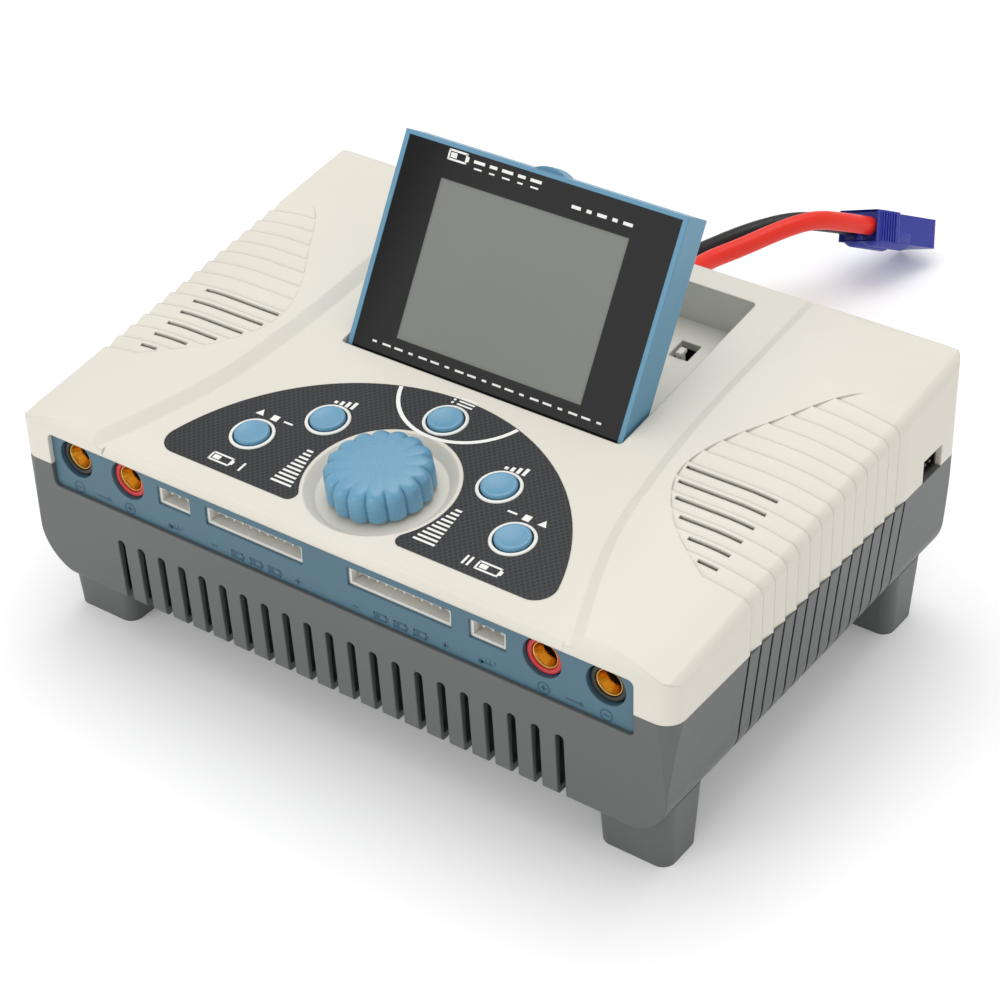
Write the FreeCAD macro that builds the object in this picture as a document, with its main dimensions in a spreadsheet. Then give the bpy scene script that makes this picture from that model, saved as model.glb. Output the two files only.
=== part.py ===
import FreeCAD, Part
import math
import os
import re
import Sketcher
from FreeCAD import Placement, Rotation, Vector

# Two-channel desktop balance charger. X runs along the front, Y towards the back, Z up.
# The origin is on the table, under the middle of the housing. All sizes are millimetres.

doc = FreeCAD.newDocument("balance_charger")
sheet = doc.addObject("Spreadsheet::Sheet", "Sizes")

SIZES = {
    # housing
    "body_width": 188, "body_depth": 127, "corner_radius": 5, "parting_height": 47.4,
    "deck_height": 66.4, "deck_angle": 7.41, "wing_rise": 2.2, "wing_droop": 2.6, "wall": 2.4,
    "belly_height": 13.5, "foot_inner_x": 70.2, "foot_outer_x": 88.8, "foot_outer_y": 56.8,
    "foot_inner_y": 43.5, "screw_front_x": 84.2, "screw_back_x": 81.2, "screw_y": 50.5, "post_radius": 3.4,
    "screw_radius": 1.5, "screw_head": 2.8,
    # louvres on the shoulders
    "louvre_pitch": 4.96, "louvre_first": -33, "louvre_depth": 0.7, "louvre_slot": 0.9,
    "groove_width": 0.8, "groove_depth": 1.8,
    # front panel and its row of intake slots
    "panel_width": 168, "panel_height": 15.2, "panel_middle": 48.7, "panel_face": 62.3,
    "panel_thickness": 2.2, "intake_pitch": 6.43, "intake_width": 2.3, "intake_top": 32,
    # front connectors
    "bullet_outer_x": 76.3, "bullet_inner_x": 59.8, "bullet_height": 51, "bullet_collar": 4.8,
    "bullet_shell": 3.45, "bullet_bore": 2.02, "bullet_mouth": 3.15, "bullet_lead_in": 3.2,
    "bullet_length": 13, "bullet_sunk": 0.9, "collar_long": 3.0, "port_sunk": 0.7,
    "port_height": 50.8, "port_tall": 5.0, "port_deep": 13.0, "port_room": 8, "port_wall": 0.8,
    "pin_pitch": 2.5, "pin_side": 0.64, "temp_x": 45.3, "temp_width": 9.9, "balance_x": 21,
    "balance_width": 29, "port_board_wide": 154, "port_board_tall": 34.6, "port_board_middle": 37.9,
    # data socket in the right side
    "link_long": 8.6, "link_tall": 6.0, "link_deep": 5.6, "link_wall": 0.6, "link_room": 5.0,
    "link_pin": 4.4, "link_y": 49.4, "link_z": 50.5,
    # display and its recess
    "recess_half": 41, "recess_front": -3.6, "recess_back": 56.5, "recess_deep": 12.0,
    "display_half": 40.3, "display_tall": 56, "display_thick": 10.6, "display_open": 59.6,
    "display_foot_y": -2.87, "display_foot_z": 63.28, "hinge_up": 2.0, "hinge_in": 2.4,
    "pin_radius": 1.0, "tab_radius": 8.7, "tab_thick": 4.0, "glass_half": 38.9, "glass_tall": 53.8,
    "glass_thick": 1.1, "display_rim": 3, "display_room": 48.6, "back_boss": 5.2, "lcd_wide": 62,
    "lcd_tall": 44, "lcd_thick": 3.0, "screen_board_wide": 72, "screen_board_tall": 47,
    "screen_board_thick": 1.2,
    # keypad, buttons and knob
    "keypad_radius": 57.6, "keypad_centre": -65.4, "keypad_front": -56.3, "keypad_thick": 0.5,
    "keypad_corner": 5.0, "keypad_gap": 0.9,
    "dish_radius": 18.1, "dish_floor": 15.6, "dish_deep": 2.3, "knob_y": -40.7,
    "knob_radius": 13, "knob_tall": 7.7, "knob_gap": 1.0, "knob_lobes": 16, "flute_radius": 1.6,
    "shaft_radius": 3.0, "encoder_side": 12, "encoder_tall": 4.6, "bush_tall": 7.0,
    "button_radius": 4.35, "button_hole": 4.65, "button_proud": 1.1, "flange_radius": 5.2,
    "flange_thick": 1.0, "switch_side": 6, "switch_tall": 3.1, "plunger_radius": 1.6, "plunger_tall": 3.8,
    "button_a_x": 37.7, "button_a_y": -41.6, "button_b_x": 24.9, "button_b_y": -28.9,
    "button_c_y": -15.8, "board_depth": 9.0, "board_thick": 1.6, "control_board_wide": 102,
    "control_board_deep": 38,
    # rear
    "rear_half": 84, "rear_low": 17.5, "rear_high": 59, "fan_side": 40, "fan_thick": 15,
    "fan_x": 57, "fan_height": 37.2, "fan_bore": 18.9, "rotor_radius": 18.2, "hub_radius": 9.5,
    # power parts inside
    "main_board_wide": 158, "main_board_deep": 86, "main_board_up": 20, "sink_wide": 46, "sink_deep": 36,
    "sink_base": 4, "fin_thick": 1.5, "fin_tall": 20, "can_radius": 5, "can_tall": 17, "coil_radius": 9.5,
    "coil_thick": 4,
    # input leads and plug
    "lead_radius": 2.75, "lead_apart": 4.0, "exit_x": -24, "exit_z": 30, "gland_face": 66.5,
    "plug_long": 27, "plug_wide": 14.5, "plug_tall": 9.5, "plug_pole": 3.6, "contact_radius": 2.9,
}
for row, (alias, value) in enumerate(SIZES.items(), start=1):
    sheet.set(f"A{row}", alias)
    sheet.set(f"B{row}", str(value))
    sheet.setAlias(f"B{row}", alias)
doc.recompute()

nodes = []


def size(alias):
    """A driving dimension as a plain number."""
    return float(sheet.get(alias))


def bind(item, **formulas):
    """Tie properties of an object to formulas over the sheet's cells."""
    for name, formula in formulas.items():
        item.setExpression(name, re.sub(r"[a-z][a-z_]+[a-z]", lambda cell: "Sizes." + cell.group(0), formula))
    return item


def node(item, label, placement=None):
    """Register a finished sub-part under its own label."""
    item.Label = label
    if placement is not None:
        item.Placement = placement
    nodes.append(item)
    return item


# ---------------------------------------------------------------- local frames
def front(x, z, y=None):
    """Frame on the front wall: x right, y up, z out towards the user."""
    return Placement(Vector(x, -size("panel_face") if y is None else y, z), Rotation(Vector(1, 0, 0), 90))


def rear(x, z, y):
    """Frame on the rear wall: y up, z out towards the back."""
    return Placement(Vector(x, y, z), Rotation(180, 0, 90))


def deck(x=0, along=0, up=0):
    """Frame on the sloping control deck: x right, y up the slope, z off the surface."""
    turn = Rotation(Vector(1, 0, 0), size("deck_angle"))
    base = Vector(0, 0, size("deck_height")) + turn.multVec(Vector(x, along, up))
    return Placement(base, turn)


def deck_z(y):
    return size("deck_height") + y * math.tan(math.radians(size("deck_angle")))


def deck_along(y):
    """Distance up the slope of the surface point above this y."""
    return y / math.cos(math.radians(size("deck_angle")))


def display_frame_at(x=0, up=0, out=0):
    """Frame on the glass of the raised display: y up the screen, z out of the glass."""
    turn = Rotation(Vector(1, 0, 0), size("display_open"))
    foot = Vector(0, size("display_foot_y"), size("display_foot_z"))
    return Placement(foot + turn.multVec(Vector(x, up, out)), turn)


# ---------------------------------------------------------------- sketching helpers
def new_body(label, placement=None):
    return node(doc.addObject("PartDesign::Body", label), label, placement)


def sketch_on(body, name, lift=0.0, role="XY_Plane"):
    plane = next(part for part in body.Origin.OriginFeatures if part.Role == role)
    sketch = body.newObject("Sketcher::SketchObject", name)
    sketch.AttachmentSupport = [(plane, "")]
    sketch.MapMode = "FlatFace"
    sketch.AttachmentOffset = Placement(Vector(0, 0, lift), Rotation())
    return sketch


def add_rectangle(sketch, x, y, width, height):
    """Rectangle about (x, y) whose width and height are formulas tied to the sheet."""
    half_w = 0.5 * value_of(width)
    half_h = 0.5 * value_of(height)
    corners = [Vector(x + sx * half_w, y + sy * half_h, 0) for sx, sy in ((-1, -1), (1, -1), (1, 1), (-1, 1))]
    first = sketch.GeometryCount
    for i in range(4):
        sketch.addGeometry(Part.LineSegment(corners[i], corners[(i + 1) % 4]))
    for i in range(4):
        sketch.addConstraint(Sketcher.Constraint("Coincident", first + i, 2, first + (i + 1) % 4, 1))
        sketch.addConstraint(Sketcher.Constraint("Horizontal" if i % 2 == 0 else "Vertical", first + i))
    wide = sketch.addConstraint(Sketcher.Constraint("Distance", first, 2 * half_w))
    tall = sketch.addConstraint(Sketcher.Constraint("Distance", first + 1, 2 * half_h))
    bind(sketch, **{f"Constraints[{wide}]": width, f"Constraints[{tall}]": height})


def add_circle(sketch, x, y, radius):
    """Circle about (x, y) whose radius is a formula tied to the sheet."""
    index = sketch.addGeometry(Part.Circle(Vector(x, y, 0), Vector(0, 0, 1), value_of(radius)))
    tie = sketch.addConstraint(Sketcher.Constraint("Radius", index, value_of(radius)))
    bind(sketch, **{f"Constraints[{tie}]": radius})


def value_of(formula):
    """Value of a sum or difference of cells and numbers, such as 'wall + 0.2' or '2 * wall'."""
    total = 0.0
    for sign, term in re.findall(r"([+-]?)\s*([^+-]+)", formula):
        product = 1.0
        for factor in term.split("*"):
            factor = factor.strip()
            product *= size(factor) if factor[0].isalpha() else float(factor)
        total += -product if sign == "-" else product
    return total


def pad(body, sketch, length, down=False):
    feature = body.newObject("PartDesign::Pad", "Pad")
    feature.Profile = sketch
    feature.Reversed = down
    return bind(feature, Length=length)


def pocket(body, sketch, length, up=False):
    """Cut down from the sketch, or up from it."""
    feature = body.newObject("PartDesign::Pocket", "Pocket")
    feature.Profile = sketch
    feature.Reversed = up
    return bind(feature, Length=length)


def round_edges(body, base, radius, keep):
    """Fillet the edges of a feature for which keep(edge) is true."""
    doc.recompute()
    names = [f"Edge{i}" for i, edge in enumerate(base.Shape.Edges, start=1) if keep(edge)]
    feature = body.newObject("PartDesign::Fillet", "Fillet")
    feature.Base = (base, names)
    feature.Radius = radius
    return feature


def is_upright(edge):
    if len(edge.Vertexes) < 2:
        return False
    run = edge.Vertexes[-1].Point - edge.Vertexes[0].Point
    return abs(run.x) < 1e-6 and abs(run.y) < 1e-6


def at_level(level):
    def keep(edge):
        return abs(edge.BoundBox.ZMin - level) < 1e-4 and abs(edge.BoundBox.ZMax - level) < 1e-4
    return keep


# ---------------------------------------------------------------- primitive helpers
def box(length, width, height, at=(0, 0, 0)):
    """Part box with its first corner at the given point; sizes are formulas."""
    item = doc.addObject("Part::Box", "Box")
    bind(item, Length=length, Width=width, Height=height)
    item.Placement.Base = Vector(*at)
    return item


def cylinder(radius, height, at=(0, 0, 0), turn=None):
    item = doc.addObject("Part::Cylinder", "Cylinder")
    bind(item, Radius=radius, Height=height)
    item.Placement = Placement(Vector(*at), turn or Rotation())
    return item


def fuse(items):
    item = doc.addObject("Part::MultiFuse", "Fuse")
    item.Shapes = items
    return item


def cut(base, tool):
    item = doc.addObject("Part::Cut", "Cut")
    item.Base = base
    item.Tool = tool
    return item


def group(items):
    """Separate solids kept side by side in one node."""
    item = doc.addObject("Part::Compound", "Group")
    item.Links = items
    return item


def feature(label, shape, placement=None):
    """A shape made with Part's own functions, from sizes read off the sheet."""
    item = doc.addObject("Part::Feature", label)
    item.Shape = shape
    return node(item, label, placement)


def block(x0, x1, y0, y1, z0, z1):
    return Part.makeBox(x1 - x0, y1 - y0, z1 - z0, Vector(x0, y0, z0))


def rounded_block(x0, x1, y0, y1, z0, z1, radius):
    """Block with its four upright edges rounded."""
    solid = block(x0, x1, y0, y1, z0, z1)
    return solid.makeFillet(radius, [edge for edge in solid.Edges if is_upright(edge)])


def placed(shape, placement):
    copy = shape.copy()
    copy.Placement = placement.multiply(copy.Placement)
    return copy


# ================================================================ housing shells
HALF_W = size("body_width") / 2
HALF_D = size("body_depth") / 2
PARTING = size("parting_height")
WALL = size("wall")
FAR = 120.0


def plan_prism(inset, low, high):
    """The housing's rounded rectangle seen from above, pulled up between two heights."""
    w = HALF_W - inset
    d = HALF_D - inset
    return rounded_block(-w, w, -d, d, low, high, size("corner_radius") - inset)


def shoulder_wire(y, inset):
    """Cross-section of the top shell: upright sides, soft shoulders and a crowned top."""
    w = HALF_W - inset
    top = deck_z(y) + size("wing_rise") - inset
    edge = top - size("wing_droop")
    crown = 74.0
    soft = 2.0
    low = PARTING - 5
    right = [Vector(w, y, low), Vector(w, y, edge - soft), Vector(w - 0.25 * soft, y, edge - 0.35 * soft),
             Vector(w - soft, y, edge + 0.5), Vector(84, y, top - 0.6), Vector(crown, y, top)]
    left = [Vector(-p.x, p.y, p.z) for p in right]
    edges = []
    for a, b, c, d, e, f in (right, left):
        edges += [Part.makeLine(a, b), Part.Arc(b, c, d).toShape(), Part.Arc(d, e, f).toShape()]
    edges.append(Part.makeLine(right[-1], left[-1]))
    edges.append(Part.makeLine(left[0], right[0]))
    return Part.Wire(Part.__sortEdges__(edges))


def side_profile(front_soft, back_soft, rise):
    """Side view of the housing with a rounded front and back edge, as a slab across X."""
    def top(y):
        return deck_z(y) + rise
    front_y, back_y = -HALF_D, HALF_D
    near = 0.29
    points = [Vector(-FAR, front_y, PARTING - 5), Vector(-FAR, front_y, top(front_y) - front_soft),
              Vector(-FAR, front_y + near * front_soft, top(front_y) - near * front_soft),
              Vector(-FAR, front_y + front_soft, top(front_y + front_soft)),
              Vector(-FAR, back_y - back_soft, top(back_y - back_soft)),
              Vector(-FAR, back_y - near * back_soft, top(back_y) - near * back_soft),
              Vector(-FAR, back_y, top(back_y) - back_soft), Vector(-FAR, back_y, PARTING - 5)]
    edges = [Part.makeLine(points[0], points[1]), Part.Arc(points[1], points[2], points[3]).toShape(),
             Part.makeLine(points[3], points[4]), Part.Arc(points[4], points[5], points[6]).toShape(),
             Part.makeLine(points[6], points[7]), Part.makeLine(points[7], points[0])]
    return Part.Face(Part.Wire(edges)).extrude(Vector(2 * FAR, 0, 0))


def louvre_leaf():
    """Leaf-shaped areas of the shoulders that carry louvres, seen from above."""
    tips = [Vector(84, -34.5, 0), Vector(73, -27, 0), Vector(63, -16.5, 0), Vector(59, -7, 0),
            Vector(60, 1.5, 0), Vector(70.5, 21, 0), Vector(79, 34, 0), Vector(84.5, 38.5, 0)]
    curve = Part.BSplineCurve()
    curve.interpolate(tips)
    first, last = tips[0], tips[-1]
    outer = [last, Vector(FAR, last.y, 0), Vector(FAR, first.y, 0), first]
    edges = [curve.toShape()] + [Part.makeLine(a, b) for a, b in zip(outer, outer[1:])]
    leaf = Part.Face(Part.Wire(edges)).extrude(Vector(0, 0, FAR))
    return leaf, leaf.mirror(Vector(0, 0, 0), Vector(1, 0, 0))


def louvre_lines():
    count = 15
    return [size("louvre_first") + i * size("louvre_pitch") for i in range(count)]


def louvred_crown():
    """The crowned top, sinking at each louvre line and rising back to the next one."""
    lines = louvre_lines()
    slices = []
    for y in lines[:-1]:
        sunk = shoulder_wire(y, size("louvre_depth"))
        flush = shoulder_wire(y + size("louvre_pitch"), 0)
        slices.append(Part.makeLoft([sunk, flush], True, True))
    return slices


def deck_cutter():
    """What is cut away above the control deck, with a soft slope up to each wing."""
    stations = [(69.5, -68), (60.5, -46), (55.5, -30), (52.8, -12), (51.4, 6), (51.2, 40), (51.2, 72)]
    top = 8.0
    reach = 6.5 * top / size("wing_rise") * 0.5

    def outline(level, widen):
        curve = Part.BSplineCurve()
        curve.interpolate([Vector(x + widen, y, level) for x, y in stations])
        mirror = Part.BSplineCurve()
        mirror.interpolate([Vector(-x - widen, y, level) for x, y in reversed(stations)])
        (x0, y0), (x1, y1) = stations[0], stations[-1]
        back = Part.makeLine(Vector(x1 + widen, y1, level), Vector(-x1 - widen, y1, level))
        front_line = Part.makeLine(Vector(-x0 - widen, y0, level), Vector(x0 + widen, y0, level))
        return Part.Wire([curve.toShape(), back, mirror.toShape(), front_line])
    return placed(Part.makeLoft([outline(0, 0), outline(top, reach)], True, True), deck())


def panel_opening():
    """Opening for the front panel, across the parting line."""
    half_w = size("panel_width") / 2
    half_h = size("panel_height") / 2
    middle = size("panel_middle")
    solid = block(-half_w, half_w, -FAR, -HALF_D + 5, middle - half_h, middle + half_h)
    rims = [edge for edge in solid.Edges if edge.BoundBox.XLength < 1e-6 and edge.BoundBox.ZLength < 1e-6]
    return solid.makeFillet(1.6, rims)


def rear_opening():
    solid = block(-size("rear_half"), size("rear_half"), HALF_D - 5, FAR, size("rear_low"), size("rear_high"))
    rims = [edge for edge in solid.Edges if edge.BoundBox.XLength < 1e-6 and edge.BoundBox.ZLength < 1e-6]
    return solid.makeFillet(1.6, rims)


def screw_places():
    rows = ((size("screw_front_x"), -size("screw_y")), (size("screw_back_x"), size("screw_y")))
    return [(side * x, y) for side in (-1, 1) for x, y in rows]


def latch_windows():
    """Two windows in the recess floor, seen from above: (x0, x1, y0, y1)."""
    return [(24.0, 29.5, 42.0, 48.5), (-29.5, -24.0, 42.0, 48.5)]


def make_top_shell():
    wing = Part.makeLoft([shoulder_wire(-HALF_D - 1, 0), shoulder_wire(HALF_D + 1, 0)], True, True)
    outer = wing.common(plan_prism(0, PARTING - 4, FAR))
    leaves = louvre_leaf()
    plain = outer.cut(leaves[0]).cut(leaves[1])
    ribs = [piece.common(leaf) for piece in louvred_crown() for leaf in leaves]
    lines = louvre_lines()
    rest = [block(-FAR, FAR, -FAR, lines[0], 0, FAR), block(-FAR, FAR, lines[-1], FAR, 0, FAR)]
    ends = [outer.common(leaf).common(piece) for leaf in leaves for piece in rest]
    solid = plain.fuse(ribs + [piece for piece in ends if piece.Volume > 0.1])
    solid = solid.common(side_profile(3.2, 5.5, size("wing_rise")))
    solid = solid.cut(deck_cutter())
    # the deck's own front edge is rounded between the wings
    soft = 2.4
    bar = block(-66, 66, -HALF_D - 1, -HALF_D + soft, deck_z(-HALF_D) - soft + 0.3, FAR)
    rod_at = Vector(-66, -HALF_D + soft, deck_z(-HALF_D) - soft + 0.3)
    rod = Part.makeCylinder(soft, 132, rod_at, Vector(1, 0, 0))
    solid = solid.cut(bar.cut(rod))
    solid = solid.cut(block(-FAR, FAR, -FAR, FAR, 0, PARTING))

    # hollow inside, keeping the walls of the display recess and a boss under the knob dish
    inside = placed(block(-HALF_W + 2.6, HALF_W - 2.6, -HALF_D, HALF_D, -40, -WALL), deck())
    inside = inside.common(plan_prism(2.6, 0, FAR))
    half = size("recess_half")
    deep = size("recess_deep")
    rim = 3.0
    tray = placed(block(-half - rim, half + rim, size("recess_front") - rim, FAR, -deep - 2.2, 0), deck())
    posts = []
    for x, along in board_standoffs():
        posts.append(placed(Part.makeCylinder(2.2, 8, Vector(x, along, -size("board_depth"))), deck()))
    boss = placed(Part.makeCylinder(19.4, 2.5, Vector(0, deck_along(size("knob_y")), -WALL - 2.0)), deck())
    solid = solid.cut(inside.cut([tray, boss] + posts))

    # display recess with its latch windows and the hinge holes in its side walls
    recess = rounded_block(-half, half, size("recess_front"), size("recess_back"), -deep, 12, 1.2)
    solid = solid.cut(placed(recess, deck()))
    for x0, x1, y0, y1 in latch_windows():
        solid = solid.cut(placed(block(x0, x1, y0, y1, -deep - 5, 0), deck()))
    hinge = display_frame_at(0, size("hinge_up"), -size("hinge_in"))
    bore = Part.makeCylinder(size("pin_radius") + 0.05, 2 * 43.1, Vector(-43.1, 0, 0), Vector(1, 0, 0))
    solid = solid.cut(placed(bore, hinge))

    # keypad seat, knob dish, encoder hole and button holes
    solid = solid.cut(placed(keypad_outline(size("keypad_thick")), deck(0, 0, -size("keypad_thick"))))
    knob_at = Vector(0, deck_along(size("knob_y")), 0)
    dish = Part.makeCone(size("dish_floor"), size("dish_radius"), size("dish_deep"),
                         knob_at - Vector(0, 0, size("dish_deep")))
    solid = solid.cut(placed(dish, deck()))
    solid = solid.cut(placed(Part.makeCylinder(3.6, 20, knob_at - Vector(0, 0, 15)), deck()))
    for x, y in button_places():
        hole = Part.makeCylinder(size("button_hole"), 8, Vector(x, deck_along(y), -6))
        solid = solid.cut(placed(hole, deck()))

    # through slots between the louvres
    for x, y, width in slot_places():
        slit = block(x - width / 2, x + width / 2, y, y + size("louvre_slot"), PARTING + 5, FAR)
        solid = solid.cut(slit)

    # link socket notch in the right side, panel openings, screw posts
    solid = solid.cut(block(HALF_W - 6, FAR, 44.9, 53.9, 0, 53.6))
    solid = solid.cut(panel_opening()).cut(rear_opening())
    for x, y in screw_places():
        post = Part.makeCylinder(size("post_radius"), deck_z(y) - PARTING - 0.4, Vector(x, y, PARTING))
        solid = solid.fuse(post.common(plan_prism(1, 0, FAR)))
        solid = solid.cut(Part.makeCylinder(size("screw_radius"), 8.2, Vector(x, y, PARTING)))
    return solid.removeSplitter()


def board_standoffs():
    """Where the control board hangs under the deck, in the deck's frame."""
    return [(-47.5, -43), (47.5, -43), (-47.5, -13), (47.5, -13)]


def slot_places():
    """Middle x, front y and length of each through slot on both shoulders."""
    outer = 83.3
    inner = [78.2, 72.6, 67.2, 63.0, 60.6, 59.6]
    found = []
    for i, near in enumerate(inner):
        y = size("louvre_first") + i * size("louvre_pitch") + 3.0
        for side in (-1, 1):
            found.append((side * (near + outer) / 2, y, outer - near))
    return found


def belly_profile(inset):
    """Cross-section of the lower shell: drafted sides that curl under into the belly."""
    belly = size("belly_height")
    points = [Vector(HALF_W - inset, 0, PARTING + 6), Vector(HALF_W - inset, 0, PARTING),
              Vector(HALF_W - 2.0 - inset, 0, 26), Vector(HALF_W - 5.5 - inset, 0, 17.2),
              Vector(HALF_W - 13.5 - inset, 0, belly)]
    left = [Vector(-p.x, 0, p.z) for p in points]
    edges = []
    for a, b, c, d, e in (points, left):
        edges += [Part.makeLine(a, b), Part.makeLine(b, c), Part.Arc(c, d, e).toShape()]
    edges.append(Part.makeLine(points[-1], left[-1]))
    edges.append(Part.makeLine(points[0], left[0]))
    return Part.Face(Part.Wire(Part.__sortEdges__(edges)))


def belly_slab(inset):
    return belly_profile(inset).extrude(Vector(0, 2 * FAR, 0)).translated(Vector(0, -FAR, 0))


def keel_slab():
    """Side view of the lower shell, drafted front and back with a crisp lower edge, across X."""
    belly = size("belly_height")
    edge = 1.2
    points = [Vector(0, HALF_D, PARTING + 6), Vector(0, HALF_D, PARTING), Vector(0, HALF_D - 1.5, belly + edge),
              Vector(0, HALF_D - 1.5 - 0.3 * edge, belly + 0.3 * edge), Vector(0, HALF_D - 1.5 - edge, belly)]
    back = [Vector(0, -p.y, p.z) for p in points]
    edges = []
    for a, b, c, d, e in (points, back):
        edges += [Part.makeLine(a, b), Part.makeLine(b, c), Part.Arc(c, d, e).toShape()]
    edges.append(Part.makeLine(points[-1], back[-1]))
    edges.append(Part.makeLine(points[0], back[0]))
    face = Part.Face(Part.Wire(Part.__sortEdges__(edges)))
    return face.extrude(Vector(2 * FAR, 0, 0)).translated(Vector(-FAR, 0, 0))


def foot_solid(sx, sy):
    """One moulded foot, tapering down to its flat sole."""
    def ring(x0, x1, y0, y1, z):
        corners = [Vector(sx * x, sy * y, z) for x, y in ((x0, y0), (x1, y0), (x1, y1), (x0, y1), (x0, y0))]
        return Part.makePolygon(corners)
    sole = ring(size("foot_inner_x"), size("foot_outer_x"), size("foot_inner_y"), size("foot_outer_y"), 0)
    flare = 1.2
    root = ring(size("foot_inner_x") - flare, size("foot_outer_x") + flare, size("foot_inner_y") - flare,
                size("foot_outer_y") + flare, 24)
    solid = Part.makeLoft([sole, root], True, True)
    upright = [edge for edge in solid.Edges if edge.BoundBox.ZLength > 20]
    return solid.makeFillet(3.2, upright)


def make_bottom_shell():
    outer = belly_slab(0).common(keel_slab()).common(plan_prism(0, 0, FAR))
    solid = outer.cut(block(-FAR, FAR, -FAR, FAR, PARTING, FAR))
    # grooves down both sides, in line with the louvres of the top shell
    groove = size("groove_width")
    core = belly_slab(size("groove_depth")).fuse(block(-HALF_W + 14, HALF_W - 14, -FAR, FAR, 0, PARTING))
    bands = []
    for y in louvre_lines():
        band = block(-FAR, FAR, y - groove / 2, y + groove / 2, 0, FAR)
        bands.append(band.cut(core))
    solid = solid.cut(bands)
    for sx in (-1, 1):
        for sy in (-1, 1):
            solid = solid.fuse(foot_solid(sx, sy).common(plan_prism(0.2, 0, 24)))
    # hollow, with the inner edges softened along both sides
    room = block(-HALF_W + 3, HALF_W - 3, -HALF_D + 2.6, HALF_D - 2.6, 15.6, FAR)
    low = [edge for edge in room.Edges if edge.BoundBox.ZMax < 15.7 and edge.BoundBox.XLength < 1]
    solid = solid.cut(room.makeFillet(7.0, low))
    # locating lip that stands up inside the top shell
    lip = plan_prism(2.7, PARTING - 3, PARTING + 1.6).cut(plan_prism(4.0, 0, FAR))
    solid = solid.fuse(lip.cut(block(HALF_W - 8, FAR, 43, 56, 0, FAR)))
    solid = solid.cut(panel_opening()).cut(rear_opening())

    # row of intake slots in the front wall, open at the bottom edge
    top, half = size("intake_top"), size("intake_width") / 2
    intakes = []
    for i in range(-10, 11):
        x = i * size("intake_pitch")
        intakes.append(block(x - half, x + half, -FAR, -HALF_D + 6.5, 0, top - half))
        intakes.append(Part.makeCylinder(half, FAR, Vector(x, -HALF_D + 6.5, top - half), Vector(0, -1, 0)))
    solid = solid.cut(intakes)
    # cooling slots in the belly
    belly_slots = [block(x - 1.5, x + 1.5, y - 16, y + 16, 0, 16) for x in range(-54, 55, 9) for y in (-22, 24)]
    solid = solid.cut(belly_slots)

    # screw posts, with the heads sunk in the feet
    for x, y in screw_places():
        post = Part.makeCylinder(size("post_radius"), PARTING - 15, Vector(x, y, 15)).common(outer)
        solid = solid.fuse(post)
        solid = solid.cut(Part.makeCylinder(size("screw_radius") + 0.15, 60, Vector(x, y, 0)))
        solid = solid.cut(Part.makeCylinder(3.1, 14, Vector(x, y, 0)))
    for x, y in board_posts():
        post = Part.makeCylinder(3, 4.6, Vector(x, y, 15.4))
        solid = solid.fuse(post)
    return solid.removeSplitter()


def board_posts():
    return [(sx * 72, y) for sx in (-1, 1) for y in (-38, 36)]


# ================================================================ control deck
def button_places():
    a, b = size("button_a_x"), size("button_b_x")
    return [(-a, size("button_a_y")), (-b, size("button_b_y")), (0, size("button_c_y")),
            (b, size("button_b_y")), (a, size("button_a_y"))]


def keypad_outline(thick):
    """Fan-shaped plate round the knob dish, its outline in the deck's frame."""
    centre = Vector(0, size("keypad_centre"), 0)
    base = Part.makeCylinder(size("keypad_radius"), thick, centre)
    base = base.common(block(-FAR, FAR, size("keypad_front"), FAR, 0, thick))
    upright = [edge for edge in base.Edges if is_upright(edge)]
    base = base.makeFillet(size("keypad_corner"), upright)
    knob_at = Vector(0, deck_along(size("knob_y")), 0)
    ring = Part.makeCylinder(size("dish_radius") + size("keypad_gap"), thick, knob_at)
    base = base.cut(ring)
    inner = [edge for edge in base.Edges if is_upright(edge) and abs(edge.CenterOfMass.x) < 16
             and edge.CenterOfMass.y < size("keypad_front") + 1]
    return base.makeFillet(2.2, inner)


def make_keypad():
    plate = keypad_outline(size("keypad_thick"))
    for x, y in button_places():
        plate = plate.cut(Part.makeCylinder(size("button_hole"), 2, Vector(x, deck_along(y), -1)))
    feature("keypad_overlay", plate, deck(0, 0, -size("keypad_thick")))


def make_button(label, x, y):
    """Domed cap with a retaining flange under the deck."""
    body = new_body(label, deck(x, deck_along(y), -4.5))
    flange = sketch_on(body, "FlangeSketch")
    add_circle(flange, 0, 0, "flange_radius")
    pad(body, flange, "flange_thick")
    stem = sketch_on(body, "StemSketch")
    add_circle(stem, 0, 0, "button_radius")
    top = pad(body, stem, "button_proud + 4.5")
    round_edges(body, top, 0.7, at_level(4.5 + size("button_proud")))


def make_knob():
    """Ribbed control knob with a bore for the encoder shaft."""
    body = new_body("control_knob", deck(0, deck_along(size("knob_y")), size("knob_gap") - size("dish_deep")))
    skirt = sketch_on(body, "SkirtSketch")
    add_circle(skirt, 0, 0, "knob_radius")
    drum = pad(body, skirt, "knob_tall")
    round_edges(body, drum, 1.8, at_level(size("knob_tall")))
    bore = sketch_on(body, "BoreSketch")
    add_circle(bore, 0, 0, "shaft_radius + 0.05")
    pocket(body, bore, "knob_tall - 1.9", up=True)
    flute = sketch_on(body, "FluteSketch")
    add_circle(flute, size("knob_radius") + 0.9, 0, "flute_radius")
    first = pocket(body, flute, "knob_tall", up=True)
    pattern = body.newObject("PartDesign::PolarPattern", "Flutes")
    pattern.Originals = [first]
    pattern.Axis = (flute, ["N_Axis"])
    pattern.Angle = 360
    bind(pattern, Occurrences="knob_lobes")
    body.Tip = pattern


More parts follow.
